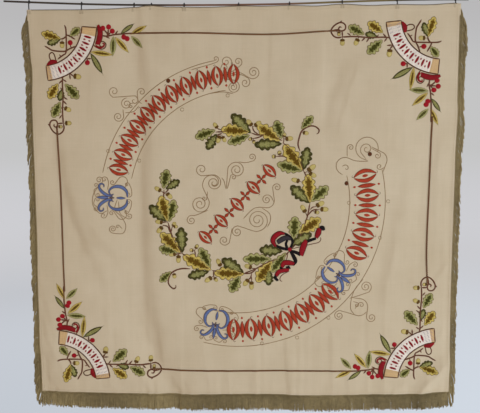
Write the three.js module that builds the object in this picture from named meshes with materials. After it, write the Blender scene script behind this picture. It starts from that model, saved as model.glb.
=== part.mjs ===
// A society banner: one square embroidered cloth with a bullion fringe on three sides, hung by wire
// pin hooks from a thin rod that sags. Millimetres, +Z up. X runs along the rod to the viewer's right
// and the worked face looks along -Y. The origin is on the rod's axis above the middle of the cloth.
import * as THREE from 'three';

// Rod
const rodRadius = 3;
const rodSides = 16;
const rodSteps = 26;
const rodPath = [
  { x: -744, z: 19 },
  { x: -600, z: 12 },
  { x: -420, z: 5 },
  { x: -200, z: 1 },
  { x: 0, z: 0 },
  { x: 150, z: 1 },
  { x: 310, z: 5 },
  { x: 480, z: 8.5 },
  { x: 600, z: 9 },
  { x: 695, z: 8 },
];

// Hooks: a crook over the rod, then a shank that leans a little and lies against the back of the heading
const wireRadius = 1.9;
const wireSides = 8;
const wireSteps = 22;
const crookRadius = 5.5;        // middle of the wire, about the rod's axis
const crookStart = -35;         // degrees, from the horizontal behind the rod
const crookTurn = 215;          // degrees, over the top to the front of the rod
const crookPoints = 8;
const shankDepth = 20;          // how far the shank reaches below the cloth's top edge
const shankShares = [0, 0.5, 1];
const hooks = [
  { x: -664, lean: 5 },
  { x: -499, lean: 2 },
  { x: -335, lean: -4 },
  { x: -281, lean: 1 },
  { x: -179, lean: 3 },
  { x: -10, lean: -6 },
  { x: 147, lean: 5 },
  { x: 309, lean: 3 },
  { x: 477, lean: -9 },
  { x: 655, lean: 9 },
];

// Cloth
const clothThickness = 2;
const touchGap = 0.3;           // between pieces that are sewn or pinned together
const clothColumns = 52;
const clothRows = 24;
const clothPlane = -crookRadius - wireRadius - touchGap - clothThickness / 2;
const headingBow = 3;           // the heading stands forward between two hooks
const headingFade = 260;        // and is flat again this far down

// The four edges as they hang
const topEdge = [
  { x: -670, z: -9 },
  { x: -500, z: -10 },
  { x: -420, z: -9 },
  { x: -335, z: -5 },
  { x: -281, z: 0 },
  { x: -230, z: -5 },
  { x: -95, z: -7 },
  { x: -10, z: -4 },
  { x: 70, z: -6 },
  { x: 147, z: -4 },
  { x: 228, z: -7 },
  { x: 309, z: -2 },
  { x: 394, z: -7 },
  { x: 477, z: -5 },
  { x: 568, z: -7 },
  { x: 656, z: -3 },
  { x: 670, z: -5 },
];
const bottomEdge = [
  { x: -670, z: -1245 },
  { x: -422, z: -1251 },
  { x: -180, z: -1255 },
  { x: 24, z: -1252 },
  { x: 195, z: -1256 },
  { x: 501, z: -1251 },
  { x: 670, z: -1242 },
];
const leftEdge = [
  { z: -9, x: -670 },
  { z: -150, x: -668 },
  { z: -194, x: -664 },
  { z: -316, x: -669 },
  { z: -703, x: -669 },
  { z: -921, x: -673 },
  { z: -1245, x: -672 },
];
const rightEdge = [
  { z: -5, x: 671 },
  { z: -298, x: 671 },
  { z: -328, x: 673 },
  { z: -472, x: 669 },
  { z: -897, x: 666 },
  { z: -1244, x: 668 },
];

// Folds, each a line that runs down the cloth. A row gives where the line is, how far the cloth stands
// forward there, or back where it is negative, and how far its left and right flanks spread.
const folds = [
  // the long fold that starts under the raised stretch of the heading
  [
    { z: -20, x: -345, rise: 0, left: 60, right: 34 },
    { z: -60, x: -345, rise: -5, left: 80, right: 34 },
    { z: -170, x: -340, rise: -7, left: 80, right: 34 },
    { z: -330, x: -326, rise: -6, left: 85, right: 32 },
    { z: -480, x: -338, rise: -9, left: 90, right: 30 },
    { z: -600, x: -340, rise: -10, left: 90, right: 30 },
    { z: -800, x: -340, rise: -10, left: 90, right: 32 },
    { z: -930, x: -338, rise: -11, left: 90, right: 36 },
    { z: -1000, x: -330, rise: -13, left: 80, right: 44 },
    { z: -1060, x: -312, rise: -16, left: 70, right: 56 },
    { z: -1120, x: -298, rise: -16, left: 60, right: 56 },
    { z: -1180, x: -268, rise: -13, left: 50, right: 48 },
    { z: -1256, x: -236, rise: -9, left: 45, right: 44 },
  ],
  // the curved crease near the left edge
  [
    { z: -330, x: -602, rise: 0, left: 50, right: 24 },
    { z: -410, x: -601, rise: -4, left: 50, right: 24 },
    { z: -500, x: -597, rise: -7, left: 52, right: 24 },
    { z: -560, x: -586, rise: -8, left: 52, right: 24 },
    { z: -620, x: -571, rise: -8, left: 54, right: 24 },
    { z: -680, x: -556, rise: -8, left: 54, right: 24 },
    { z: -740, x: -538, rise: -8, left: 55, right: 24 },
    { z: -830, x: -496, rise: -6, left: 55, right: 26 },
    { z: -900, x: -467, rise: -4, left: 50, right: 28 },
    { z: -970, x: -444, rise: 0, left: 50, right: 28 },
  ],
  // the shorter one beside it
  [
    { z: -670, x: -530, rise: 0, left: 40, right: 24 },
    { z: -745, x: -495, rise: -3, left: 40, right: 24 },
    { z: -790, x: -446, rise: -4, left: 40, right: 26 },
    { z: -860, x: -404, rise: -4, left: 40, right: 28 },
    { z: -950, x: -392, rise: -3, left: 40, right: 28 },
    { z: -1050, x: -380, rise: 0, left: 40, right: 28 },
  ],
  // the slanting crease at the upper right
  [
    { z: -150, x: 306, rise: 0, left: 34, right: 22 },
    { z: -220, x: 290, rise: -4, left: 34, right: 22 },
    { z: -330, x: 260, rise: -4, left: 34, right: 22 },
    { z: -420, x: 246, rise: 0, left: 34, right: 22 },
  ],
  // the middle fold, faint above the wreath and again at the hem
  [
    { z: -60, x: 80, rise: 0, left: 34, right: 22 },
    { z: -140, x: 80, rise: -2.5, left: 34, right: 22 },
    { z: -320, x: 76, rise: -2, left: 34, right: 22 },
    { z: -420, x: 76, rise: 0, left: 34, right: 22 },
    { z: -1060, x: 124, rise: 0, left: 60, right: 26 },
    { z: -1256, x: 132, rise: -4, left: 80, right: 26 },
  ],
  // the slanting fold on the right
  [
    { z: -480, x: 505, rise: 0, left: 50, right: 26 },
    { z: -600, x: 488, rise: -4, left: 50, right: 26 },
    { z: -720, x: 463, rise: -5, left: 50, right: 26 },
    { z: -840, x: 436, rise: -5, left: 50, right: 26 },
    { z: -900, x: 424, rise: -4, left: 50, right: 26 },
    { z: -1040, x: 412, rise: 0, left: 50, right: 26 },
  ],
  // the edge of the right border
  [
    { z: -360, x: 586, rise: 0, left: 60, right: 24 },
    { z: -440, x: 582, rise: -4, left: 60, right: 24 },
    { z: -560, x: 578, rise: -4, left: 60, right: 24 },
    { z: -800, x: 566, rise: -4, left: 60, right: 24 },
    { z: -880, x: 560, rise: 0, left: 60, right: 24 },
  ],
  // the upper left edge turns away
  [
    { z: -62, x: -712, rise: 0, left: 40, right: 52 },
    { z: -115, x: -712, rise: -9, left: 40, right: 52 },
    { z: -300, x: -712, rise: -8, left: 40, right: 52 },
    { z: -430, x: -712, rise: 0, left: 40, right: 52 },
  ],
  // pulls at the two bottom corners
  [
    { z: -1080, x: 700, rise: 0, left: 20, right: 30 },
    { z: -1140, x: 640, rise: 5, left: 20, right: 30 },
    { z: -1193, x: 591, rise: 5, left: 20, right: 30 },
    { z: -1250, x: 560, rise: 3, left: 20, right: 30 },
  ],
  [
    { z: -1000, x: -690, rise: 0, left: 24, right: 36 },
    { z: -1069, x: -661, rise: 6, left: 24, right: 36 },
    { z: -1151, x: -621, rise: 6, left: 24, right: 36 },
    { z: -1250, x: -578, rise: 4, left: 24, right: 36 },
  ],
];

// Fringes: a sewn heading and hanging strands, gathered here into teeth
const fringeThickness = 3;
const bottomHeading = 8;
const bottomToothGap = 2.4;
const bottomLength = [
  { x: -670, length: 48 },
  { x: -422, length: 50 },
  { x: 195, length: 51 },
  { x: 501, length: 49 },
  { x: 670, length: 50 },
];
const toothUnevenness = 1.6;
const sideHeading = 4;
const sideStart = 0.5;          // rows of the cloth above the first tooth
const sideTeethPerRow = 2;
const sideToothGap = 5;
const sideDrop = 40;            // how far a side tooth hangs below its root
const leftReach = [
  { z: -28, reach: 9 },
  { z: -50, reach: 20 },
  { z: -140, reach: 17 },
  { z: -560, reach: 15 },
  { z: -703, reach: 17 },
  { z: -921, reach: 14 },
  { z: -1245, reach: 19 },
];
const rightReach = [
  { z: -22, reach: 8 },
  { z: -45, reach: 19 },
  { z: -85, reach: 23 },
  { z: -145, reach: 16 },
  { z: -700, reach: 14 },
  { z: -1245, reach: 14 },
];

// A table's value at a place between its rows, eased from row to row.
function follow(table, key, at, value) {
  const up = table[0][key] < table[table.length - 1][key];
  const rows = up ? table : [...table].reverse();
  if (at <= rows[0][key]) return rows[0][value];
  for (let i = 1; i < rows.length; i++) {
    if (at > rows[i][key]) continue;
    const share = (at - rows[i - 1][key]) / (rows[i][key] - rows[i - 1][key]);
    const eased = (1 - Math.cos(Math.PI * share)) / 2;
    return THREE.MathUtils.lerp(rows[i - 1][value], rows[i][value], eased);
  }
  return rows[rows.length - 1][value];
}

// How far the cloth stands forward of its plane.
function clothRise(x, z) {
  let rise = 0;
  for (const fold of folds) {
    const tall = follow(fold, 'z', z, 'rise');
    const side = x - follow(fold, 'z', z, 'x');
    const spread = follow(fold, 'z', z, side < 0 ? 'left' : 'right');
    rise += tall * Math.exp(-((side / spread) ** 2));
  }
  return rise + headingRise(x, z);
}

// The heading lies against the hooks and bows forward between them.
function headingRise(x, z) {
  const fade = Math.max(0, 1 + z / headingFade);
  for (let i = 1; i < hooks.length; i++) {
    const share = (x - hooks[i - 1].x) / (hooks[i].x - hooks[i - 1].x);
    if (share < 0 || share > 1) continue;
    return headingBow * fade * Math.sin(Math.PI * share) ** 2;
  }
  return 0;
}

// A point of the cloth's middle surface: u runs along the heading and v runs down.
function clothPoint(u, v) {
  const nominal = THREE.MathUtils.lerp(leftEdge[0].x, rightEdge[0].x, u);
  const top = follow(topEdge, 'x', nominal, 'z');
  const bottom = follow(bottomEdge, 'x', nominal, 'z');
  const z = THREE.MathUtils.lerp(top, bottom, v);
  const left = follow(leftEdge, 'z', z, 'x');
  const right = follow(rightEdge, 'z', z, 'x');
  const x = THREE.MathUtils.lerp(left, right, u);
  return new THREE.Vector3(x, clothPlane - clothRise(x, z), z);
}

// A closed sheet from four-cornered cells that share corners. Cells run counter-clockwise seen from -Y.
function sheetGeometry(corners, cells, thickness) {
  const half = new THREE.Vector3(0, thickness / 2, 0);
  const front = corners.map((corner) => corner.clone().sub(half));
  const back = corners.map((corner) => corner.clone().add(half));
  const edges = new Set();
  for (const cell of cells) cell.forEach((a, i) => edges.add(`${a},${cell[(i + 1) % 4]}`));
  const triangles = [];
  for (const cell of cells) {
    const [a, b, c, d] = cell;
    triangles.push([front[a], front[b], front[c]], [front[a], front[c], front[d]]);
    triangles.push([back[a], back[c], back[b]], [back[a], back[d], back[c]]);
    cell.forEach((from, i) => {
      const to = cell[(i + 1) % 4];
      if (edges.has(`${to},${from}`)) return;
      triangles.push([front[from], back[from], back[to]], [front[from], back[to], front[to]]);
    });
  }
  const geometry = new THREE.BufferGeometry().setFromPoints(triangles.flat());
  geometry.computeVertexNormals();
  return geometry;
}

function clothGeometry() {
  const corners = [];
  for (let row = 0; row <= clothRows; row++) {
    for (let column = 0; column <= clothColumns; column++) {
      corners.push(clothPoint(column / clothColumns, row / clothRows));
    }
  }
  const cells = [];
  const across = clothColumns + 1;
  for (let row = 0; row < clothRows; row++) {
    for (let column = 0; column < clothColumns; column++) {
      const at = row * across + column;
      cells.push([at + across, at + across + 1, at + 1, at]);
    }
  }
  return sheetGeometry(corners, cells, clothThickness);
}

// One of the cloth's edges as straight stretches between grid points, read at any place along it.
function edgeLine(count, pointAt) {
  const points = Array.from({ length: count + 1 }, (_, i) => pointAt(i / count));
  return (along) => {
    const i = Math.min(count - 1, Math.floor(along));
    return points[i].clone().lerp(points[i + 1], along - i);
  };
}

const lastShare = (index) => toothUnevenness * (Math.sin(index * 2.3) + Math.sin(index * 0.9 + 1));

// The bottom fringe: a heading under the hem with one tooth below each column of the cloth.
function bottomFringeGeometry() {
  const edge = edgeLine(clothColumns, (u) => clothPoint(u, 1));
  const columnWidth = (rightEdge[0].x - leftEdge[0].x) / clothColumns;
  const gapShare = bottomToothGap / columnWidth / 2;
  const corners = [];
  const cells = [];
  const post = (along, drop) => {
    const point = edge(along);
    point.z -= touchGap + drop;
    return corners.push(point) - 1;
  };
  let topBefore = post(0, 0);
  let footBefore = post(0, bottomHeading);
  for (let tooth = 0; tooth < clothColumns; tooth++) {
    const from = tooth + gapShare;
    const to = tooth + 1 - gapShare;
    const length = follow(bottomLength, 'x', edge(from).x, 'length') + lastShare(tooth);
    const topFrom = post(from, 0);
    const footFrom = post(from, bottomHeading);
    const topTo = post(to, 0);
    const footTo = post(to, bottomHeading);
    const tipFrom = post(from, length);
    const tipTo = post(to, length);
    const topNext = post(tooth + 1, 0);
    const footNext = post(tooth + 1, bottomHeading);
    cells.push([footBefore, footFrom, topFrom, topBefore]);
    cells.push([footFrom, footTo, topTo, topFrom]);
    cells.push([footTo, footNext, topNext, topTo]);
    cells.push([tipFrom, tipTo, footTo, footFrom]);
    topBefore = topNext;
    footBefore = footNext;
  }
  return sheetGeometry(corners, cells, fringeThickness);
}

// A side fringe: a narrow heading down the edge, whose teeth hang steeply down and out.
function sideFringeGeometry(u, outward, reaches) {
  const edge = edgeLine(clothRows, (v) => clothPoint(u, v));
  const teeth = (clothRows - sideStart) * sideTeethPerRow;
  const step = 1 / sideTeethPerRow;
  const rowHeight = (edge(0).z - edge(clothRows).z) / clothRows;
  const gapSteps = sideToothGap / rowHeight;
  const corners = [];
  const cells = [];
  const post = (along, out, drop = 0) => {
    const point = edge(along);
    point.x += outward * (touchGap + out);
    point.z -= drop;
    return corners.push(point) - 1;
  };
  // seen from the front the left fringe lies the other way round, so its cells are listed backwards
  const add = (...cell) => cells.push(outward > 0 ? cell : cell.reverse());
  let innerBefore = post(sideStart, 0);
  let outerBefore = post(sideStart, sideHeading);
  for (let tooth = 0; tooth < teeth; tooth++) {
    const from = sideStart + tooth * step;
    const to = from + step - gapSteps;
    const next = from + step;
    const reach = follow(reaches, 'z', edge(from).z, 'reach') + lastShare(tooth) / 2;
    const innerTo = post(to, 0);
    const outerTo = post(to, sideHeading);
    const innerNext = post(next, 0);
    const outerNext = post(next, sideHeading);
    const tipFrom = post(from, reach, sideDrop);
    const tipTo = post(to, reach, sideDrop);
    add(innerTo, outerTo, outerBefore, innerBefore);
    add(innerNext, outerNext, outerTo, innerTo);
    add(outerTo, tipTo, tipFrom, outerBefore);
    innerBefore = innerNext;
    outerBefore = outerNext;
  }
  return sheetGeometry(corners, cells, fringeThickness);
}

// A curve given by a list of points, eased through them.
const throughPoints = (points) => new THREE.CatmullRomCurve3(points, false, 'centripetal');

function tubeGeometry(path, radius, sides, steps) {
  const ring = Array.from({ length: sides }, (_, i) => {
    const turn = (2 * Math.PI * i) / sides;
    return new THREE.Vector2(radius * Math.cos(turn), radius * Math.sin(turn));
  });
  return new THREE.ExtrudeGeometry(new THREE.Shape(ring), { steps, extrudePath: path });
}

// How far forward of its plane the heading lies, on the straight stretches between its grid points.
const headingLine = edgeLine(clothColumns, (u) => clothPoint(u, 0));
const rowBelowLine = edgeLine(clothColumns, (u) => clothPoint(u, 1 / clothRows));
function headingForward(x, z) {
  const along = (clothColumns * (x - leftEdge[0].x)) / (rightEdge[0].x - leftEdge[0].x);
  const above = headingLine(along);
  const below = rowBelowLine(along);
  const share = THREE.MathUtils.clamp((z - above.z) / (below.z - above.z), 0, 1);
  return clothPlane - THREE.MathUtils.lerp(above.y, below.y, share);
}

const rodCurve = throughPoints(rodPath.map(({ x, z }) => new THREE.Vector3(x, 0, z)));

// The rod's height above one place along it.
function rodHeight(x) {
  const samples = rodCurve.getPoints(400);
  const after = samples.findIndex((point) => point.x >= x);
  const before = samples[after - 1];
  const share = (x - before.x) / (samples[after].x - before.x);
  return THREE.MathUtils.lerp(before.z, samples[after].z, share);
}

function hookGeometry({ x, lean }) {
  const rodZ = rodHeight(x);
  const points = [];
  for (let i = 0; i <= crookPoints; i++) {
    const turn = THREE.MathUtils.degToRad(crookStart + (crookTurn * i) / crookPoints);
    const y = crookRadius * Math.cos(turn);
    points.push(new THREE.Vector3(x, y, rodZ + crookRadius * Math.sin(turn)));
  }
  const edgeZ = follow(topEdge, 'x', x, 'z');
  for (const share of shankShares) {
    const z = edgeZ - share * shankDepth;
    points.push(new THREE.Vector3(x + share * lean, -crookRadius - headingForward(x, z), z));
  }
  return tubeGeometry(throughPoints(points), wireRadius, wireSides, wireSteps);
}

function piece(name, geometry, color, roughness, metalness) {
  const material = new THREE.MeshStandardMaterial({ color, roughness, metalness });
  material.name = name;
  const mesh = new THREE.Mesh(geometry, material);
  mesh.name = name;
  return mesh;
}

const clothColor = 0xcdb998;
const fringeColor = 0x7d6a42;
const rodColor = 0x4a3a2a;
const wireColor = 0x2b2724;

const banner = new THREE.Group();
banner.name = 'society_banner';
banner.add(piece('rod', tubeGeometry(rodCurve, rodRadius, rodSides, rodSteps), rodColor, 0.45, 0.8));
hooks.forEach((hook, index) => {
  banner.add(piece(`hook_${index + 1}`, hookGeometry(hook), wireColor, 0.5, 0.9));
});
banner.add(piece('banner_cloth', clothGeometry(), clothColor, 0.85, 0));
banner.add(piece('fringe_bottom', bottomFringeGeometry(), fringeColor, 0.7, 0.1));
banner.add(piece('fringe_left', sideFringeGeometry(0, -1, leftReach), fringeColor, 0.7, 0.1));
banner.add(piece('fringe_right', sideFringeGeometry(1, 1, rightReach), fringeColor, 0.7, 0.1));

export default banner;
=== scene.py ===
import math

import bmesh
import bpy
import numpy as np
from mathutils import Matrix, Vector


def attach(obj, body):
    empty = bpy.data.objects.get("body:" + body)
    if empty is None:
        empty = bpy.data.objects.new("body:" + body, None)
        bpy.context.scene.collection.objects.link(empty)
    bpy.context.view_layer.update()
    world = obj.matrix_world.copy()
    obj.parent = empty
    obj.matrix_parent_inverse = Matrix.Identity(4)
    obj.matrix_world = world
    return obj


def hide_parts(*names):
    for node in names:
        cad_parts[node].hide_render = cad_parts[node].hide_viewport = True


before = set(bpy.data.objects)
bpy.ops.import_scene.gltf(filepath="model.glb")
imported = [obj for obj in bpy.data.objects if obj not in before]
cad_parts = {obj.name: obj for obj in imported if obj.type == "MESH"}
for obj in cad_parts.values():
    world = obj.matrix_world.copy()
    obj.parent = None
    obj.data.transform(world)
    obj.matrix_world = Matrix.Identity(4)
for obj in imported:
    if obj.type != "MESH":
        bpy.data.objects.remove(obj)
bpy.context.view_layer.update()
print("frame loaded,", len(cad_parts), "nodes")

# Lengths below are millimetres in the frame of the CAD model, and meshes are made in metres.
metre = 0.001
dice = np.random.default_rng(11)


# The hang of the cloth.

cloth = {
    "plane": -8.7,          # middle of the cloth along Y, where no fold lifts it
    "half": 1.0,            # half its thickness
    "dull": (199, 174, 141), "pale": (212, 191, 163),
    "headingBow": 3.0,      # it stands forward between two hooks
    "headingFade": 260.0,
    "hooks": [-664, -499, -335, -281, -179, -10, 147, 309, 477, 655],
    "spacing": (4.8, 9.6),  # of the mesh, across and down
    "hem": 12.0,
    "hemRise": 0.3,         # the turned hem is a little thicker
    "edgeHalf": 0.45,       # its rounded outer edge is thinner
    "edgeRow": 1.0,         # how far in the mesh's second line lies
    "hemTurn": (0.4, 1.4),  # its lines just inside and just outside the edge of the hem
    # swells: height, how far apart across and down, seed
    "swells": [(0.55, 46, 210, 3), (0.275, 24, 60, 4)],
    # fine upright ripples, stronger towards the foot
    "streak": 0.4, "streakSize": (13, 340, 5), "streakShare": ([0, 700, 950, 1256], [1, 0.8, 1.6, 3.2]),
}
topEdge = {
    "x": [-670, -500, -420, -335, -281, -230, -95, -10, 70, 147, 228, 309, 394, 477, 568, 656, 670],
    "z": [-9, -10, -9, -5, 0, -5, -7, -4, -6, -4, -7, -2, -7, -5, -7, -3, -5],
}
bottomEdge = {
    "x": [-670, -422, -180, 24, 195, 501, 670],
    "z": [-1245, -1251, -1255, -1252, -1256, -1251, -1242],
}
leftEdge = {
    "z": [-9, -150, -194, -316, -703, -921, -1245],
    "x": [-670, -668, -664, -669, -669, -673, -672],
}
rightEdge = {
    "z": [-5, -298, -328, -472, -897, -1244],
    "x": [671, 671, 673, 669, 666, 668],
}

# Each fold is a line that runs down the cloth. Its rise is how far the cloth stands forward there, or back
# where it is negative, and its flanks spread to the left and right.
folds = [
    {   # the long fold that starts under the raised stretch of the heading
        "z": [-20, -60, -170, -330, -480, -600, -800, -930, -1000, -1060, -1120, -1180, -1256],
        "x": [-345, -345, -340, -326, -338, -340, -340, -338, -330, -312, -298, -268, -236],
        "rise": [0, -5, -7, -6, -9, -10, -10, -11, -13, -16, -16, -13, -9],
        "left": [60, 80, 80, 85, 90, 90, 90, 90, 80, 70, 60, 50, 45],
        "right": [34, 34, 34, 32, 30, 30, 32, 36, 44, 56, 56, 48, 44],
    },
    {   # the curved crease near the left edge
        "z": [-330, -410, -500, -560, -620, -680, -740, -830, -900, -970],
        "x": [-602, -601, -597, -586, -571, -556, -538, -496, -467, -444],
        "rise": [0, -4, -7, -8, -8, -8, -8, -6, -4, 0],
        "left": [50, 50, 52, 52, 54, 54, 55, 55, 50, 50],
        "right": [24, 24, 24, 24, 24, 24, 24, 26, 28, 28],
    },
    {   # the shorter one beside it
        "z": [-670, -745, -790, -860, -950, -1050],
        "x": [-530, -495, -446, -404, -392, -380],
        "rise": [0, -3, -4, -4, -3, 0],
        "left": 40,
        "right": [24, 24, 26, 28, 28, 28],
    },
    {   # the slanting crease at the upper right
        "z": [-150, -220, -330, -420],
        "x": [306, 290, 260, 246],
        "rise": [0, -4, -4, 0],
        "left": 34,
        "right": 22,
    },
    {   # the middle fold, faint above the wreath and again at the hem
        "z": [-60, -140, -320, -420, -1060, -1256],
        "x": [80, 80, 76, 76, 124, 132],
        "rise": [0, -2.5, -2, 0, 0, -4],
        "left": [34, 34, 34, 34, 60, 80],
        "right": [22, 22, 22, 22, 26, 26],
    },
    {   # the slanting fold on the right
        "z": [-480, -600, -720, -840, -900, -1040],
        "x": [505, 488, 463, 436, 424, 412],
        "rise": [0, -4, -5, -5, -4, 0],
        "left": 50,
        "right": 26,
    },
    {   # the edge of the right border
        "z": [-360, -440, -560, -800, -880],
        "x": [586, 582, 578, 566, 560],
        "rise": [0, -4, -4, -4, 0],
        "left": 60,
        "right": 24,
    },
    {   # the upper left edge turns away
        "z": [-62, -115, -300, -430],
        "x": [-712, -712, -712, -712],
        "rise": [0, -9, -8, 0],
        "left": 40,
        "right": 52,
    },
    {   # pulls at the two bottom corners
        "z": [-1080, -1140, -1193, -1250],
        "x": [700, 640, 591, 560],
        "rise": [0, 5, 5, 3],
        "left": 20,
        "right": 30,
    },
    {
        "z": [-1000, -1069, -1151, -1250],
        "x": [-690, -661, -621, -578],
        "rise": [0, 6, 6, 4],
        "left": 24,
        "right": 36,
    },
]

# Finer creases on top of them. A row is its rise, its left and right flank and points (x, z) down it.
creases = [
    # the long fold and the curved crease are sharper than their troughs
    (-5.0, 50, 26, (-332, -60), (-328, -170), (-318, -330), (-326, -480), (-329, -620), (-329, -800),
     (-326, -930), (-324, -1010), (-318, -1070), (-308, -1130), (-284, -1190)),
    (-3.2, 44, 46, (-306, -960), (-290, -1050), (-280, -1130), (-254, -1205)),
    (-3.0, 40, 20, (-592, -400), (-588, -500), (-576, -570), (-560, -630), (-544, -690), (-524, -750),
     (-490, -830)), (1.5, 5, 18, (93, -3), (90, -139), (86, -293)),
    (2.6, 6, 26, (133, -1000), (138, -1100), (143, -1185), (149, -1253)),
    (1.6, 6, 20, (366, -172), (359, -187), (332, -279), (308, -357), (298, -404)),
    (1.8, 8, 24, (483, -738), (472, -820), (463, -901)),
    (1.6, 6, 18, (-658, -822), (-655, -880), (-652, -935)),
    # fans of small pulls along the foot
    (3.0, 9, 20, (-349, -1160), (-327, -1208), (-308, -1245)), (3.0, 9, 22, (-312, -1160), (-284, -1240)),
    (3.2, 9, 20, (-244, -1180), (-225, -1215), (-203, -1243)), (2.8, 9, 20, (-214, -1180), (-176, -1240)),
    (2.2, 9, 22, (-462, -1185), (-443, -1215), (-420, -1243)), (2.0, 10, 24, (-390, -1170), (-365, -1243)),
    (1.8, 9, 24, (-130, -1120), (-118, -1180), (-108, -1250)),
    (1.8, 9, 24, (-60, -1130), (-52, -1190), (-44, -1252)),
    (1.6, 8, 22, (30, -1120), (36, -1190), (40, -1252)),
    (2.2, 8, 22, (284, -1010), (286, -1078), (290, -1253)), (1.8, 7, 20, (300, -1005), (306, -1158)),
    (2.2, 9, 26, (330, -1120), (338, -1190), (345, -1253)), (1.8, 8, 24, (394, -1030), (398, -1151)),
    (1.8, 8, 24, (450, -1140), (456, -1245)),
    # the lower left side
    (3.2, 9, 26, (-280, -1000), (-268, -1100), (-258, -1215)),
    (2.6, 9, 26, (-331, -985), (-313, -1053), (-289, -1115)),
    (1.8, 8, 24, (-456, -935), (-446, -999), (-444, -1055)),
    (2.4, 12, 34, (-511, -655), (-473, -716), (-430, -761), (-408, -810)),
    (1.8, 7, 20, (-654, -820), (-637, -850), (-620, -890)),
    (2.4, 8, 22, (-661, -885), (-638, -960), (-618, -1033), (-609, -1110)),
    (4.0, 8, 24, (-665, -950), (-645, -1040), (-624, -1108), (-597, -1169), (-566, -1212)),
    (3.0, 8, 22, (-660, -1140), (-640, -1189), (-612, -1235)),
    # the lower right corner
    (2.6, 6, 20, (662, -790), (638, -828), (620, -857), (594, -900)),
    (2.4, 7, 20, (665, -1015), (632, -1045), (604, -1072)),
    (6.6, 10, 30, (666, -1120), (642, -1162), (622, -1182), (597, -1206), (583, -1226), (570, -1252)),
    (2.6, 7, 20, (550, -1186), (519, -1211), (488, -1236)),
    (1.6, 6, 18, (616, -400), (616, -464), (611, -540)),
    (2.2, 26, 50, (532, -430), (510, -577), (484, -718), (452, -850)),
    # below the heading
    (1.8, 9, 26, (-499, -10), (-505, -120), (-512, -250)),
    (1.6, 9, 26, (-179, -10), (-172, -110), (-166, -220)), (1.5, 9, 24, (309, -8), (300, -90), (292, -190)),
    (1.6, 9, 26, (477, -8), (486, -120), (494, -260)),
    (2.4, 12, 30, (-566, -500), (-563, -605), (-546, -664), (-524, -712)),
    (1.3, 10, 26, (-420, -110), (-428, -260), (-424, -400)),
    (1.2, 10, 26, (-466, -120), (-478, -270), (-470, -420)),
]


def crease(rise, left, right, *points):
    # It dies away at both ends unless it reaches the heading or the hem.
    rises = [rise] * len(points)
    rises[0] *= 0.7 if points[0][1] > -20 else 0
    rises[-1] *= 0.9 if points[-1][1] < -1225 else 0
    return {"x": [x for x, _ in points], "z": [z for _, z in points], "rise": rises, "left": left,
            "right": right}


def follow(at, keys, values):
    # A table's value at a place between its rows, eased from row to row.
    order = np.argsort(keys)
    keys = np.asarray(keys, float)[order]
    values = np.broadcast_to(np.asarray(values, float), len(keys))[order]
    row = np.clip(np.searchsorted(keys, at) - 1, 0, len(keys) - 2)
    share = np.clip((at - keys[row]) / (keys[row + 1] - keys[row]), 0, 1)
    return values[row] + (values[row + 1] - values[row]) * (1 - np.cos(np.pi * share)) / 2


def crest(fold, x, z):
    centre, rise, left, right = (follow(z, fold["z"], fold[key]) for key in ("x", "rise", "left", "right"))
    side = x - centre
    return rise * np.exp(-((side / np.where(side < 0, left, right)) ** 2))


def headingRise(x, z):
    hooks = np.array(cloth["hooks"], float)
    before = np.clip(np.searchsorted(hooks, x) - 1, 0, len(hooks) - 2)
    share = np.clip((x - hooks[before]) / (hooks[before + 1] - hooks[before]), 0, 1)
    fade = np.maximum(0, 1 + z / cloth["headingFade"])
    return cloth["headingBow"] * fade * np.sin(np.pi * share) ** 2


def between(grid, gx, gz, ease=False):
    # A grid's value at places between its points.
    ix, iz = np.floor(gx).astype(int), np.floor(gz).astype(int)
    fx, fz = gx - ix, gz - iz
    if ease:
        fx, fz = fx * fx * (3 - 2 * fx), fz * fz * (3 - 2 * fz)
    near = grid[ix, iz] * (1 - fx) + grid[ix + 1, iz] * fx
    far = grid[ix, iz + 1] * (1 - fx) + grid[ix + 1, iz + 1] * fx
    return near * (1 - fz) + far * fz


def unevenness(x, z, across, down, seed):
    # Soft random swells, one about every "across" by "down" millimetres.
    lattice = np.random.default_rng(seed).uniform(-1, 1, (400, 400))
    return between(lattice, x / across + 200, z / down + 200, ease=True)


# The forward rise is worked out once on a fine grid and read from it everywhere.
riseStep = 2.0
riseX = np.arange(-720, 721, riseStep)
riseZ = np.arange(-1300, 41, riseStep)
gridX, gridZ = np.meshgrid(riseX, riseZ, indexing="ij")
allFolds = folds + [crease(*row) for row in creases]
riseGrid = sum(crest(fold, gridX, gridZ) for fold in allFolds) + headingRise(gridX, gridZ)
for height, *size in cloth["swells"]:
    riseGrid += height * unevenness(gridX, gridZ, *size)
streaks = unevenness(gridX, gridZ, *cloth["streakSize"])
riseGrid += cloth["streak"] * streaks * np.interp(-gridZ, *cloth["streakShare"])
slopeX, slopeZ = np.gradient(riseGrid, riseStep)


def readGrid(grid, x, z):
    gx = np.clip((x - riseX[0]) / riseStep, 0, len(riseX) - 1.001)
    gz = np.clip((z - riseZ[0]) / riseStep, 0, len(riseZ) - 1.001)
    return between(grid, gx, gz)


def clothPoint(u, v):
    # A point of the cloth's middle surface: u runs along the heading and v runs down.
    nominal = leftEdge["x"][0] + (rightEdge["x"][0] - leftEdge["x"][0]) * u
    top = follow(nominal, topEdge["x"], topEdge["z"])
    bottom = follow(nominal, bottomEdge["x"], bottomEdge["z"])
    z = top + (bottom - top) * v
    left = follow(z, leftEdge["z"], leftEdge["x"])
    right = follow(z, rightEdge["z"], rightEdge["x"])
    x = left + (right - left) * u
    return np.stack([x, cloth["plane"] - readGrid(riseGrid, x, z), z], -1)


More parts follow.
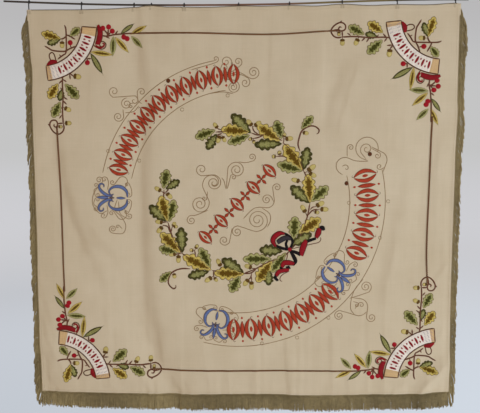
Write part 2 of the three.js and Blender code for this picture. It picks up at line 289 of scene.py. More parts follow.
def onFace(x, z, height):
    # A point that stands "height" off the worked face.
    normal = np.stack([-readGrid(slopeX, x, z), -np.ones_like(x), -readGrid(slopeZ, x, z)], -1)
    normal /= np.linalg.norm(normal, axis=-1, keepdims=True)
    y = cloth["plane"] - cloth["half"] - readGrid(riseGrid, x, z)
    return np.stack([x, y, z], -1) + normal * height[..., None]


# Meshes.

def newObject(name, mesh):
    piece = bpy.data.objects.new(name, mesh)
    bpy.context.scene.collection.objects.link(piece)
    return piece


def setPoints(mesh, places):
    mesh.vertices.add(len(places))
    mesh.vertices.foreach_set("co", (np.asarray(places) * metre).astype(np.float32).ravel())


def meshObject(name, places, faces, uv, material=None, shade=None):
    # faces is a list of arrays, each of faces with the same number of corners.
    mesh = bpy.data.meshes.new(name)
    setPoints(mesh, places)
    corners = np.concatenate([np.asarray(f, np.int32).ravel() for f in faces])
    sizes = np.concatenate([np.full(len(f), np.shape(f)[1], np.int32) for f in faces])
    mesh.loops.add(len(corners))
    mesh.loops.foreach_set("vertex_index", corners)
    mesh.polygons.add(len(sizes))
    mesh.polygons.foreach_set("loop_start", np.concatenate([[0], np.cumsum(sizes)[:-1]]).astype(np.int32))
    mesh.polygons.foreach_set("loop_total", sizes)
    mesh.polygons.foreach_set("use_smooth", np.ones(len(sizes), bool))
    mesh.update(calc_edges=True)
    mesh.uv_layers.new(name="threadMap").data.foreach_set("uv", np.asarray(uv, np.float32)[corners].ravel())
    if shade is not None:
        field = mesh.attributes.new("shade", "FLOAT", "POINT").data
        field.foreach_set("value", np.asarray(shade, np.float32))
    if material is not None:
        mesh.materials.append(material)
    return newObject(name, mesh)


def triangleCount(piece):
    return sum(len(p.vertices) - 2 for p in piece.data.polygons)


# Nodes.

def link(tree, source, target):
    # A socket is linked to the target, and anything else is set as its value.
    if isinstance(source, bpy.types.NodeSocket):
        tree.links.new(source, target)
    else:
        target.default_value = source


def addNode(tree, kind, inputs=None, **settings):
    node = tree.nodes.new(kind)
    for key, value in settings.items():
        setattr(node, key, value)
    for label, value in (inputs or {}).items():
        link(tree, value, node.inputs[label])
    return node


def mathNode(tree, operation, *values):
    return addNode(tree, "ShaderNodeMath", dict(enumerate(values)), operation=operation).outputs[0]


def plus(first, second):
    return mathNode(first.id_data, "ADD", first, second)


def times(first, second):
    return mathNode(first.id_data, "MULTIPLY", first, second)


def noiseNode(tree, vector, scale, detail):
    # Noise about zero.
    noise = addNode(tree, "ShaderNodeTexNoise", {"Vector": vector, "Scale": scale, "Detail": detail})
    return mathNode(tree, "SUBTRACT", noise.outputs["Fac"], 0.5)


def fadeNode(tree, value, low, high, toLow=0.0, toHigh=1.0):
    inputs = {"Value": value, "From Min": low, "From Max": high, "To Min": toLow, "To Max": toHigh}
    return addNode(tree, "ShaderNodeMapRange", inputs, interpolation_type="SMOOTHSTEP").outputs[0]


def mixColors(tree, mask, low, high):
    return addNode(tree, "ShaderNodeMix", {0: mask, 6: low, 7: high}, data_type="RGBA").outputs[2]


def axesOf(tree, vector):
    return addNode(tree, "ShaderNodeSeparateXYZ", {0: vector}).outputs


def objectPlace(tree):
    return addNode(tree, "ShaderNodeTexCoord").outputs["Object"]


# Materials.

def linear(red, green, blue):
    # A colour written in 0 to 255 as it looks, turned into the scene's linear values.
    shares = [c / 255 for c in (red, green, blue)]
    return tuple(c / 12.92 if c <= 0.04045 else ((c + 0.055) / 1.055) ** 2.4 for c in shares) + (1.0,)


def newGroup(name, inputs, outputs):
    group = bpy.data.node_groups.new(name, "ShaderNodeTree")
    group.interface.new_socket("Vector", in_out="INPUT", socket_type="NodeSocketVector")
    for label, value in inputs.items():
        socket = group.interface.new_socket(label, in_out="INPUT", socket_type="NodeSocketFloat")
        socket.default_value = value
    for label in outputs:
        group.interface.new_socket(label, in_out="OUTPUT", socket_type="NodeSocketFloat")
    return group, addNode(group, "NodeGroupInput").outputs, addNode(group, "NodeGroupOutput").inputs


def buildWeave():
    # Plain weave: a height for the crossing threads, and a tint that differs from thread to thread and paints
    # shade between them.
    group, given, out = newGroup("plainWeave", {"Threads per metre": 900.0, "Slub": 0.5}, ("Height", "Tint"))
    axes = axesOf(group, given["Vector"])
    waves = [times(times(axes[i], math.pi), given["Threads per metre"]) for i in (0, 1)]
    waves = [mathNode(group, "SINE", wave) for wave in waves]
    body = times(*(mathNode(group, "ABSOLUTE", wave) for wave in waves))
    weave = plus(times(body, 0.6), times(times(*waves), 0.25))
    slubs = []
    for stretch in ((420.0, 11.0, 1.0), (11.0, 420.0, 1.0)):
        scale = addNode(group, "ShaderNodeVectorMath", {0: given["Vector"], 1: stretch}, operation="MULTIPLY")
        slubs.append(noiseNode(group, scale.outputs[0], 1.0, 2.0))
    slub = times(plus(*slubs), given["Slub"])
    link(group, plus(weave, slub), out["Height"])
    link(group, plus(plus(times(slub, 0.22), times(body, 0.06)), 0.97), out["Tint"])
    return group


def buildStain():
    # Age and handling: broad clouds and smaller marks, as one tint.
    group, given, out = newGroup("ageStain", {"Broad": 2.0, "Fine": 30.0, "Strength": 0.1}, ("Tint", "Mask"))
    broad = noiseNode(group, given["Vector"], given["Broad"], 3.0)
    fine = noiseNode(group, given["Vector"], given["Fine"], 4.0)
    both = plus(broad, times(fine, 0.5))
    link(group, plus(times(both, given["Strength"]), 1.0), out["Tint"])
    link(group, plus(both, 0.5), out["Mask"])
    return group


def buildPly():
    # Twisted plies along a yarn: its own map runs in millimetres, U along the yarn and V across or round it.
    group, given, out = newGroup("twistedPly", {"Along": 0.9, "Across": 2.0}, ("Height", "Tint"))
    axes = axesOf(group, given["Vector"])
    slanted = plus(times(axes[0], given["Along"]), times(axes[1], given["Across"]))
    ridge = mathNode(group, "ABSOLUTE", mathNode(group, "SINE", times(slanted, math.pi)))
    grain = noiseNode(group, given["Vector"], 0.55, 3.0)
    link(group, plus(ridge, grain), out["Height"])
    # the tint is darker in the grooves between the plies, a painted shade, with a random grain over it
    link(group, plus(plus(times(ridge, 0.22), times(grain, 0.35)), 0.85), out["Tint"])
    return group


weaveGroup = buildWeave()
stainGroup = buildStain()
plyGroup = buildPly()
# For each kind of fibre: the shader's settings, the threads in relief, the age marks, and the bump's
# strength and depth.
fibres = {
    "linen": {
        "shader": {"Roughness": 0.85, "Sheen Weight": 0.04, "Specular IOR Level": 0.3},
        "relief": (weaveGroup, {"Threads per metre": 1000.0, "Slub": 0.4}),
        "stain": {"Broad": 1.6, "Fine": 14.0, "Strength": 0.12}, "bump": (0.35, 0.0004),
    },
    "embroidery": {
        "shader": {"Roughness": 0.66, "Specular IOR Level": 0.12},
        "relief": (plyGroup, {"Along": 0.8, "Across": 1.0}),
        "stain": {"Broad": 9.0, "Fine": 60.0, "Strength": 0.3}, "bump": (0.4, 0.0003),
    },
    "yarn": {
        "shader": {"Roughness": 0.62, "Specular IOR Level": 0.3},
        "relief": (plyGroup, {"Along": 0.28, "Across": 0.64}),
        "stain": {"Broad": 5.0, "Fine": 90.0, "Strength": 0.45}, "bump": (0.6, 0.0006),
    },
    "cord": {
        "shader": {"Roughness": 0.66, "Specular IOR Level": 0.15},
        "relief": (plyGroup, {"Along": 0.7, "Across": 0.64}),
        "stain": {"Broad": 8.0, "Fine": 80.0, "Strength": 0.3}, "bump": (0.5, 0.0003),
    },
}


def useGroup(tree, group, vector, inputs):
    return addNode(tree, "ShaderNodeGroup", {"Vector": vector, **inputs}, node_tree=group).outputs


def newMaterial(name, settings):
    material = bpy.data.materials.new(name)
    material.use_nodes = True
    shader = material.node_tree.nodes["Principled BSDF"].inputs
    for label, value in settings.items():
        shader[label].default_value = value
    return material, material.node_tree, shader


def tinted(tree, color, tints):
    # The colour made lighter or darker by each tint in turn.
    for tint in tints:
        color = addNode(tree, "ShaderNodeVectorMath", {0: color, "Scale": tint}, operation="SCALE").outputs[0]
    return color


def bumped(tree, shader, height, strength, distance):
    bump = addNode(tree, "ShaderNodeBump", {"Strength": strength, "Distance": distance, "Height": height})
    link(tree, bump.outputs[0], shader["Normal"])


def fibreMaterial(name, kind, *colors):
    # Threads in relief on the piece's own map, and age over the whole banner, which blends two colours.
    look = fibres[kind]
    material, tree, shader = newMaterial(name, look["shader"])
    group, settings = look["relief"]
    relief = useGroup(tree, group, addNode(tree, "ShaderNodeUVMap", uv_map="threadMap").outputs[0], settings)
    stain = useGroup(tree, stainGroup, objectPlace(tree), look["stain"])
    tints = [relief["Tint"], stain["Tint"]]
    # the shade attribute holds a random tone for each row, and painted shade and highlight at leaf rims and
    # cords
    if kind == "embroidery":
        tints.insert(1, addNode(tree, "ShaderNodeAttribute", attribute_name="shade").outputs["Fac"])
    tones = [linear(*color) for color in colors]
    base = mixColors(tree, stain["Mask"], *tones) if len(tones) == 2 else tones[0][:3]
    link(tree, tinted(tree, base, tints), shader["Base Color"])
    bumped(tree, shader, relief["Height"], *look["bump"])
    return material


def metalMaterial(name, color, worn, roughness, metallic, paintedReflections=()):
    # stretches given as (x, reach, colour) where the metal shows a painted reflection in another colour
    material, tree, shader = newMaterial(name, {"Metallic": metallic})
    place = objectPlace(tree)
    stain = useGroup(tree, stainGroup, place, {"Broad": 22.0, "Fine": 420.0, "Strength": 0.5})
    color = mixColors(tree, stain["Mask"], linear(*color), linear(*worn))
    along = axesOf(tree, place)[0]
    for x, reach, shown in paintedReflections:
        away = mathNode(tree, "ABSOLUTE", mathNode(tree, "SUBTRACT", along, x * metre))
        fade = fadeNode(tree, away, reach * metre, reach * metre * 0.4, 0.0, 0.85)
        color = mixColors(tree, fade, color, linear(*shown))
    link(tree, tinted(tree, color, [stain["Tint"]]), shader["Base Color"])
    link(tree, mathNode(tree, "MULTIPLY_ADD", stain["Mask"], 0.35, roughness - 0.15), shader["Roughness"])
    bumped(tree, shader, stain["Mask"], 0.15, 0.0003)
    return material


def buildCloth():
    hem = cloth["hem"]
    wide = rightEdge["x"][0] - leftEdge["x"][0]
    tall = topEdge["z"][0] - bottomEdge["z"][0]
    inside, outside = cloth["hemTurn"]

    def lines(length, spacing):
        inner = np.linspace(hem + outside, length - hem - outside, int((length - 2 * hem) / spacing))
        start = [0, cloth["edgeRow"], hem / 2, hem - inside]
        return np.concatenate([start, inner, [length - s for s in reversed(start)]])

    across, down = lines(wide, cloth["spacing"][0]), lines(tall, cloth["spacing"][1])
    u, v = np.meshgrid(across / wide, down / tall, indexing="ij")
    middle = clothPoint(u, v)
    fromEdge = np.minimum(np.minimum(u, 1 - u) * wide, np.minimum(v, 1 - v) * tall)
    half = np.where(fromEdge < 0.5, cloth["edgeHalf"], cloth["half"])
    half = half + np.where((fromEdge > 0.5) & (fromEdge < hem), cloth["hemRise"], 0)
    shift = np.zeros_like(middle)
    shift[..., 1] = half
    count = u.size
    front = np.arange(count).reshape(u.shape)
    a, b, c, d = front[:-1, 1:], front[1:, 1:], front[1:, :-1], front[:-1, :-1]
    faces = [np.stack([a, b, c, d], -1).reshape(-1, 4)]
    faces.append(np.stack([a, d, c, b], -1).reshape(-1, 4) + count)
    for line in (front[:, 0], front[-1, :], front[::-1, -1], front[0, ::-1]):
        faces.append(np.stack([line[:-1], line[1:], line[1:] + count, line[:-1] + count], -1))
    places = np.concatenate([(middle - shift).reshape(-1, 3), (middle + shift).reshape(-1, 3)])
    uv = np.stack([u * wide, v * tall], -1).reshape(-1, 2) * metre
    linen = fibreMaterial("banner_linen", "linen", cloth["dull"], cloth["pale"])
    return meshObject("banner_cloth_woven", places, faces, np.concatenate([uv, uv]), linen)


clothPiece = buildCloth()
print("cloth hung,", triangleCount(clothPiece), "triangles")


# Stitches.

# One spool for each thread colour. What is worked with a spool becomes one mesh.
spools = {
    "olive_pale": (208, 178, 94),
    "olive_mid": (160, 132, 50),
    "olive_deep": (98, 68, 6),
    "sage_pale": (170, 160, 102),
    "sage_mid": (128, 122, 62),
    "sage_deep": (66, 62, 14),
    "rim_brown": (112, 92, 46),
    "moss_rim": (72, 64, 26),
    "moss_mid": (112, 106, 54),
    "moss_pale": (150, 142, 84),
    "twig_brown": (104, 62, 44),
    "nut_gold": (196, 172, 104),
    "cap_brown": (96, 66, 26),
    "berry_red": (156, 20, 30),
    "ribbon_red": (146, 20, 28),
    "ribbon_black": (22, 12, 12),
    "ribbon_grey": (58, 50, 52),
    "brick_red": (172, 60, 36),
    "brick_edge": (92, 50, 26),
    "slate_blue": (98, 110, 150),
    "slate_deep": (84, 62, 64),
    "tan_line": (146, 114, 78),
    "scroll_white": (230, 212, 196),
    "scroll_peach": (208, 168, 120),
    "scroll_brown": (92, 54, 34),
    "scroll_red": (136, 20, 26),
    "lilac": (152, 128, 140),
}
worked = {name: [] for name in spools}
# half a thread's width, its roundness, where it enters
thread = {"half": 1.05, "ridge": 0.14, "sunk": -0.35}


def frameAt(origin, along=(1, 0), across=(0, 1)):
    return np.array(origin, float), np.array(along, float), np.array(across, float)


def turned(place, at, heading=0):
    # A new frame inside another, at a point of it and turned by a heading in degrees.
    origin, along, across = place
    c, s = math.cos(math.radians(heading)), math.sin(math.radians(heading))
    return origin + along * at[0] + across * at[1], along * c + across * s, across * c - along * s


def into(place, a, b):
    origin, along, across = place
    return origin[0] + along[0] * a + across[0] * b, origin[1] + along[1] * a + across[1] * b


def lay(spool, place, a, b, height, along, shade=1.0, ring=False):
    # A field of stitches. Rows follow each other, and each row is half a thread from edge to edge.
    x, z = into(place, a, b)
    rows = x.shape[0]
    tone = np.repeat(dice.normal(1, 0.05, (rows + 1) // 2), 2)[:rows, None]
    across = np.broadcast_to(np.arange(rows)[:, None] * 0.5, x.shape)
    worked[spool].append({
        "x": x, "z": z, "height": height, "ring": ring,
        "uv": np.stack([along + dice.uniform(0, 40), across], -1),
        "shade": np.broadcast_to(shade * tone, x.shape),
    })


def ridges(rows):
    return (thread["ridge"] * np.where(np.arange(rows) % 2 == 0, 1, -1))[:, None]


def sunkEnds(profile, raised, floor=thread["sunk"]):
    # Heights along each row. The row goes into the cloth at both ends, where the profile is 0.
    return np.where(profile == 0, floor, raised)


def smooth(points, parts=10):
    # A curve eased through a few points.
    p = np.array(points, float)
    if len(p) < 3:
        return p
    p = np.vstack([2 * p[0] - p[1], p, 2 * p[-1] - p[-2]])
    t = np.linspace(0, 1, parts, endpoint=False)[:, None]
    spans = []
    for a, b, c, d in zip(p, p[1:], p[2:], p[3:]):
        spans.append(0.5 * (2 * b + (c - a) * t + (2 * a - 5 * b + 4 * c - d) * t ** 2
                            + (3 * b - a - 3 * c + d) * t ** 3))
    return np.vstack(spans + [p[-2:-1]])


def lengthsOf(path):
    return np.concatenate([[0], np.cumsum(np.hypot(*np.diff(path, axis=0).T))])


def pickAt(path, lengths, at):
    return np.stack([np.interp(at, lengths, path[:, i]) for i in (0, 1)], -1)


def evenly(path, step):
    # The same path with its points a step apart, and the distance along it.
    lengths = lengthsOf(path)
    at = np.linspace(0, lengths[-1], max(3, int(round(lengths[-1] / step)) + 1))
    return pickAt(path, lengths, at), at


def sideways(path):
    tangent = np.gradient(path, axis=0)
    tangent /= np.maximum(np.hypot(tangent[:, 0], tangent[:, 1])[:, None], 1e-9)
    return np.stack([-tangent[:, 1], tangent[:, 0]], -1)


def offsetBy(path, side, offset):
    return path[:, :1] + side[:, :1] * offset, path[:, 1:] + side[:, 1:] * offset


def cord(spool, place, path, width=3.0, height=0.9, taper=6.0, twist=4.0):
    # A line of stem stitch, thinner at its two ends.
    path, at = evenly(np.asarray(path, float), 2.0 if width > 3 else 2.4)
    slim = 0.45 + 0.55 * np.clip(np.minimum(at, at[-1] - at) / taper, 0, 1)[:, None]
    columns = np.array([-1, -0.42, 0.42, 1])
    swell = np.sin(2 * np.pi * (at[:, None] / twist + columns * 0.22))
    h = np.where(np.abs(columns) > 0.9, thread["sunk"], height * (1 + 0.2 * swell) * slim)
    a, b = offsetBy(path, sideways(path), slim * columns * width / 2)
    # the shade follows the swell of the twist: a painted highlight on each swell and painted shade between
    lay(spool, place, a, b, h, np.broadcast_to(at[:, None], a.shape), shade=1 + 0.1 * swell)


def satinBand(spool, place, path, widths, height=0.9, slant=0.0):
    # Satin stitches laid across a band, which narrows and widens along its path.
    path, at = evenly(smooth(path), thread["half"])
    side = sideways(path)
    wide = np.interp(at / at[-1], np.linspace(0, 1, len(widths)), widths)
    profile = np.array([0, 0.75, 1, 0.75, 0])
    offset = wide[:, None] * np.array([-1, -0.8, 0, 0.8, 1]) / 2
    a, b = offsetBy(path, side + slant * np.stack([side[:, 1], -side[:, 0]], -1), offset)
    lay(spool, place, a, b, sunkEnds(profile, profile * height + ridges(len(path))), offset)


def edgedBand(spool, edge, place, path, widths, height=1.1, slant=0.3, line=1.7):
    # A satin band with a darker stem stitch down each side.
    satinBand(spool, place, path, widths, height=height, slant=slant)
    middle, at = evenly(smooth(path), 3.0)
    wide = np.interp(at / at[-1], np.linspace(0, 1, len(widths)), widths)[:, None]
    side = sideways(middle)
    for sign in (-1, 1):
        cord(edge, place, middle + sign * side * wide * 0.46, width=line, height=height + 0.05, taper=3)


def satinOval(spool, place, length, width, height=1.2, sharp=1.0):
    # A padded oval of threads that run along it, from 0 to its length.
    rows = max(5, int(width / thread["half"]))
    w = np.linspace(-0.985, 0.985, rows)[:, None]
    reach = (1 - np.abs(w) ** (2 / sharp)) ** 0.5
    profile = np.array([0, 0.7, 1, 1, 0.7, 0])
    a = length / 2 + np.array([-1, -0.8, -0.3, 0.3, 0.8, 1]) * reach * length / 2
    dome = (1 - w ** 2) ** 0.5
    h = sunkEnds(profile, profile * (0.25 + 0.75 * dome) * height + ridges(rows) * 0.8)
    lay(spool, place, a, np.broadcast_to(w * width / 2, a.shape), h, a)


def dot(spool, place, at, radius, height=1.0):
    satinOval(spool, turned(place, (at[0] - radius, at[1])), 2 * radius, 2 * radius, height)


# how deep the bays of a leaf are, and how many
leafLobes = {"oak": (0.36, 4.6), "oakHeart": (0.55, 4.6), "laurel": (0.07, 9.0)}


def leafHalf(q, kind):
    # Half the leaf's width at a share q of its length, as a share of its greatest half.
    q = np.clip(q, 1e-6, 1 - 1e-6)
    deep, many = leafLobes[kind]
    lobes = 1 - deep * (1 - np.abs(np.sin(many * np.pi * q + 0.4)) ** 1.2)
    if kind == "laurel":
        return np.sin(np.pi * q ** 0.95) ** 1.05 * lobes
    return np.sin(np.pi * q ** 1.32) ** 0.66 * lobes


def outlineOf(length, width, kind):
    turn = np.linspace(0, 2 * np.pi, 361)
    q = (1 - np.cos(turn)) / 2
    half = leafHalf(q, kind) * width / 2
    return np.stack([q * length, np.where(turn <= np.pi, half, -half)], -1)


def rim(spool, place, length, width, kind, depth):
    # A ring of stitches that run in from the leaf's outline; its outer stitches are darker, a painted shade
    # at the edge.
    closed = outlineOf(length, width, kind)
    lengths = lengthsOf(closed)
    rows = 2 * int(lengths[-1] / thread["half"] / 2)
    edge = pickAt(closed, lengths, np.linspace(0, lengths[-1], rows, endpoint=False))
    spine = np.stack([length * (0.12 + 0.74 * edge[:, 0] / length), np.zeros(rows)], -1)
    inward = np.array([0, 0.16, 0.6, 1]) * depth
    a, b = offsetBy(edge, spine - edge, inward)
    h = sunkEnds(inward, np.array([0, 0.75, 0.95, 0.4]) + ridges(rows))
    run = np.broadcast_to(inward * width / 2, a.shape)
    lay(spool, place, a, b, h, run, shade=np.array([0.8, 0.94, 1.05, 1.0]), ring=True)


def fishbone(spool, place, length, width, kind, spread, span=(0.08, 0.92), base=0.5, rise=0.65, jagged=0.3):
    # Stitches that slant out from both sides of the middle rib, long and short by turns.
    start, stop = span
    rows = max(6, int(length * (stop - start) / thread["half"]))
    q = np.linspace(start, stop, rows)
    inside = (q - start) / (stop - start)
    taper = np.clip(np.minimum(inside, 1 - inside) / 0.16, 0.06, 1) ** 0.7
    pairs = (rows + 1) // 2
    longShort = 1 + jagged * np.where(np.arange(pairs) % 4 < 2, 0.5, -0.5)
    longShort = longShort + dice.uniform(-0.1, 0.1, pairs) * (jagged > 0)
    half = (leafHalf(q, kind) * width / 2 * spread * taper * np.repeat(longShort, 2)[:rows])[:, None]
    profile = np.array([0, 0.8, 1, 1, 0.8, 0])
    b = half * np.array([-1, -0.8, -0.3, 0.3, 0.8, 1])
    a = q[:, None] * length + 0.55 * (np.abs(b) - half * 0.5)
    floor = base - 0.1 if jagged > 0 else thread["sunk"]
    lay(spool, place, a, b, sunkEnds(profile, base + profile * rise + ridges(rows), floor), b)


# tone: rim, outline, the field inside the rim, its middle
leafTones = {
    "yellow": ("olive_pale", "rim_brown", "olive_mid", "olive_deep"),
    "light": ("sage_pale", "rim_brown", "sage_mid", "sage_deep"),
    "dark": ("moss_rim", "moss_rim", "moss_mid", "moss_pale"),
}


def oakLeaf(place, tone, at, heading, length, width):
    outer, line, field, middle = leafTones[tone]
    leaf = turned(place, at, heading)
    rim(outer, leaf, length, width * 1.04, "oak", 0.62)
    fishbone(field, leaf, length, width, "oak", 0.66, span=(0.1, 0.9), rise=0.5)
    fishbone(middle, leaf, length, width, "oakHeart", 0.46, span=(0.14, 0.84), base=1.0, rise=0.35,
             jagged=0.5)
    cord(line, leaf, outlineOf(length, width * 1.04, "oak"), width=2.2, height=0.9, taper=3, twist=6.0)
    if tone == "dark":
        cord("moss_rim", leaf, [(-2, 0), (length * 0.7, 0)], width=2.0, height=1.65, taper=length * 0.3)


def laurelLeaf(place, tone, at, heading, length, width):
    outer, line, field, middle = leafTones[tone]
    leaf = turned(place, at, heading)
    fishbone(outer, leaf, length, width, "laurel", 1.0, span=(0, 1), base=0.1, rise=0.7, jagged=0)
    fishbone(middle, leaf, length, width, "laurel", 0.5, span=(0.14, 0.86), base=0.7, rise=0.35, jagged=0.15)
    if tone != "dark":
        cord(field, leaf, outlineOf(length, width, "laurel"), width=1.5, height=0.8, taper=3)
    cord(line, leaf, [(-1, 0), (length * 1.04, 0)], width=1.4, height=1.3, taper=length * 0.3)


def acorn(place, at, heading, length, width):
    stalk = 4.0
    nut = turned(place, at, heading)
    cord("twig_brown", nut, [(-2, 0), (stalk + 1, 0)], width=3.4)
    body = length - stalk
    shell = turned(nut, (stalk + body * 0.18, 0))
    satinOval("nut_gold", shell, body * 0.86, width * 0.9, 1.3, sharp=1.6)
    turn = np.linspace(-2.4, 2.4, 25)
    edge = np.stack([body * 0.4 + body * 0.42 * np.cos(turn), width * 0.45 * np.sin(turn)], -1)
    cord("cap_brown" if length < 20 else "olive_mid", shell, edge, width=1.6, height=0.9, taper=3)
    satinOval("cap_brown", turned(nut, (stalk - body * 0.02, 0)), body * 0.46, width * 1.02, 1.7, sharp=0.8)


def windings(x, z, radius, sense, turns, angle, outward):
    # A spiral round one circle that starts or ends on it at an angle.
    t = np.linspace(0, 1, max(8, int(16 * turns)))
    shrink = radius * (1 - 0.86 * t ** 0.85)
    around = angle + sense * 2 * np.pi * turns * t * (-1 if outward else 1)
    points = np.stack([x + shrink * np.cos(around), z + shrink * np.sin(around)], -1)
    return points[::-1] if outward else points


def tendril(circles):
    # A scrolling line that winds out of the first circle, passes round the middle ones and winds into the
    # last. A circle is x, z, radius, the way round, 1 for counter-clockwise, and how many turns the line
    # winds in it. A plain point is x, z.
    rows = [(*circle, *(0, 1, 1.4)[len(circle) - 2:]) for circle in circles]
    headings = []
    for (ax, az, ar, asense, _), (bx, bz, br, bsense, _) in zip(rows, rows[1:]):
        reach = math.hypot(bx - ax, bz - az)
        lean = (bsense * br - asense * ar) / reach
        headings.append(math.atan2(bz - az, bx - ax) - math.asin(max(-0.98, min(0.98, lean))))
    path = []
    for i, row in enumerate(rows):
        x, z, radius, sense, _ = row
        enter = headings[i - 1] - sense * math.pi / 2 if i else None
        leave = headings[i] - sense * math.pi / 2 if i < len(headings) else None
        if radius == 0:
            path.append([(x, z)])
        elif enter is None:
            path.append(windings(*row, leave, True))
        elif leave is None:
            path.append(windings(*row, enter, False))
        else:
            sweep = (leave - enter) * sense % (2 * math.pi)
            at = enter + sense * np.linspace(0, sweep, max(3, int(sweep * 5)))
            path.append(np.stack([x + radius * np.cos(at), z + radius * np.sin(at)], -1))
    return smooth(np.vstack(path), 3)


def onCircle(centre, radius, degrees):
    at = np.radians(degrees)
    return np.stack([centre[0] + radius * np.cos(at), centre[1] + radius * np.sin(at)], -1)


def sweepOf(radius, start, stop):
    # Degrees along an arc, about 4 millimetres apart.
    return np.linspace(start, stop, max(3, int(abs(stop - start) * math.pi / 180 * radius / 4.0)))


def arc(centre, radius, start, stop):
    return onCircle(centre, radius, sweepOf(radius, start, stop))


def twigs(place, paths, **look):
    for points in paths:
        cord("twig_brown", place, smooth(points), **look)


banner = frameAt((0, 0))


# The oak wreath.

wreathFrame = frameAt((-20, -618))
# leaf rows: tone, where it starts from the wreath's centre, heading, length, width
wreathLeaves = [
    ("dark", (170, -138), 31, 78, 38), ("light", (180, -118), 86, 75, 44), ("yellow", (195, -98), 34, 86, 46),
    ("dark", (230, 0), 137, 80, 40), ("light", (235, 4), 42, 73, 40), ("yellow", (232, 0), 94, 92, 44),
    ("dark", (212, 106), 80, 72, 38), ("light", (208, 102), 164, 83, 40),
    ("yellow", (208, 104), 126, 100, 48), ("light", (143, 204), 108, 60, 38),
    ("dark", (143, 188), 182, 86, 38), ("yellow", (138, 196), 145, 88, 44), ("light", (42, 216), 200, 74, 34),
    ("dark", (45, 222), 135, 84, 42), ("yellow", (42, 226), 175, 90, 44), ("dark", (-62, 220), -123, 58, 32),
    ("light", (-66, 232), -160, 68, 36), ("dark", (100, -214), -90, 53, 32),
    ("dark", (145, -156), 176, 74, 40), ("light", (156, -160), -127, 80, 36),
    ("light", (110, -181), 180, 92, 40), ("yellow", (112, -185), -125, 87, 46),
    ("dark", (20, -226), 147, 83, 42), ("light", (8, -234), -119, 64, 40),
    ("yellow", (22, -230), 178, 97, 44), ("light", (-87, -210), 117, 74, 38),
    ("dark", (-92, -221), -165, 70, 34), ("yellow", (-84, -217), 153, 102, 46),
    ("dark", (-177, -160), 92, 83, 40), ("light", (-194, -160), 164, 60, 36),
    ("yellow", (-183, -160), 134, 90, 44), ("dark", (-228, -57), 136, 72, 40),
    ("light", (-218, -60), 76, 74, 38), ("yellow", (-222, -58), 104, 85, 44),
    ("dark", (-226, 46), 32, 52, 28), ("light", (-234, 47), 78, 63, 38), ("light", (204, 234), 48, 54, 30),
    ("light", (-214, -222), -138, 50, 28),
]
# acorn rows: where its stalk starts, heading, length, width
wreathAcorns = [
    ((220, -34), 120, 31, 15), ((248, -12), 27, 32, 16), ((261, -20), -2, 29, 16), ((243, -27), -15, 19, 13),
    ((203, 68), 165, 30, 15), ((221, 99), 38, 35, 17), ((226, 97), -28, 28, 15), ((150, 203), 4, 28, 15),
    ((148, 205), 76, 18, 13), ((128, 148), 180, 16, 13), ((138, 149), 105, 17, 13), ((52, 242), 130, 28, 15),
    ((54, 242), 34, 28, 15), ((54, 206), 195, 16, 11), ((54, 204), -85, 15, 11), ((-57, 235), 125, 24, 13),
    ((-50, 218), -112, 28, 15), ((-46, 216), -62, 24, 13), ((50, -211), 160, 28, 15),
    ((38, -244), -128, 30, 16), ((45, -250), -90, 31, 15), ((-52, -208), 115, 30, 15),
    ((-80, -238), -145, 30, 16), ((-77, -238), -55, 20, 12), ((-137, -154), 168, 16, 12),
    ((-136, -150), 60, 19, 12), ((-189, -164), -92, 29, 15), ((-194, -164), 188, 26, 13),
    ((-208, -78), 60, 20, 12), ((-207, -76), 5, 17, 11), ((-234, -62), 172, 28, 14),
    ((-237, -72), -130, 30, 15), ((-238, 38), 150, 27, 14), ((-226, 36), -48, 27, 15),
]
wreathTwigs = [
    [(152, -172), (196, -118), (222, -50), (232, 0)], [(232, 0), (232, 55), (212, 102)],
    [(212, 100), (190, 150), (146, 192)], [(144, 198), (112, 214), (84, 217), (66, 216), (46, 223)],
    [(72, 216), (56, 228), (50, 244)], [(88, 216), (68, 208), (52, 205)], [(42, 226), (-10, 228), (-66, 226)],
    [(-44, 223), (-66, 214)], [(-46, 232), (-62, 238)], [(226, -40), (240, -24), (262, -20)],
    [(232, -22), (240, -14), (250, -12)], [(226, -46), (218, -32)], [(163, 142), (146, 149), (126, 148)],
    [(206, 66), (216, 62)], [(212, 96), (222, 99)], [(148, 190), (150, 205)],
    [(174, -190), (120, -184), (56, -214), (20, -228)], [(20, -229), (44, -226), (58, -214), (46, -211)],
    [(46, -227), (42, -242), (34, -250)], [(45, -238), (46, -252)], [(20, -229), (-35, -227), (-82, -218)],
    [(-78, -218), (-76, -242)], [(-88, -213), (-135, -190), (-180, -161)], [(-180, -162), (-204, -166)],
    [(-180, -160), (-206, -112), (-222, -60)], [(-214, -98), (-208, -76)],
    [(-216, -94), (-222, -76), (-238, -70)], [(-222, -60), (-238, -60)],
    [(-224, -52), (-234, -5), (-232, 44)], [(-226, 30), (-240, 38)], [(-230, 34), (-220, 42), (-216, 52)],
    [(-60, -222), (-52, -206)], [(-134, -178), (-135, -168), (-137, -150)], [(-186, -158), (-190, -168)],
]
wreathTendrils = [
    [(200, 164), (194, 186), (198, 208), (206, 228), (228, 242), (246, 242), (259, 232), (258, 222),
     (252, 218)],
    [(-152, -213), (-178, -212), (-200, -218), (-216, -230), (-224, -252), (-220, -268), (-208, -278),
     (-200, -274), (-200, -266)],
]


def buildWreath():
    twigs(wreathFrame, wreathTwigs, width=5.0, height=1.0, taper=10)
    twigs(wreathFrame, wreathTendrils, width=5.6, height=1.1, taper=14)
    acorn(wreathFrame, (205, 224), -12, 22, 13)
    acorn(wreathFrame, (-206, -224), -80, 20, 13)
    for leaf in wreathLeaves:
        oakLeaf(wreathFrame, *leaf)
    for nut in wreathAcorns:
        acorn(wreathFrame, *nut)


# The ribbon on the wreath.

ribbonWidening = 1.16
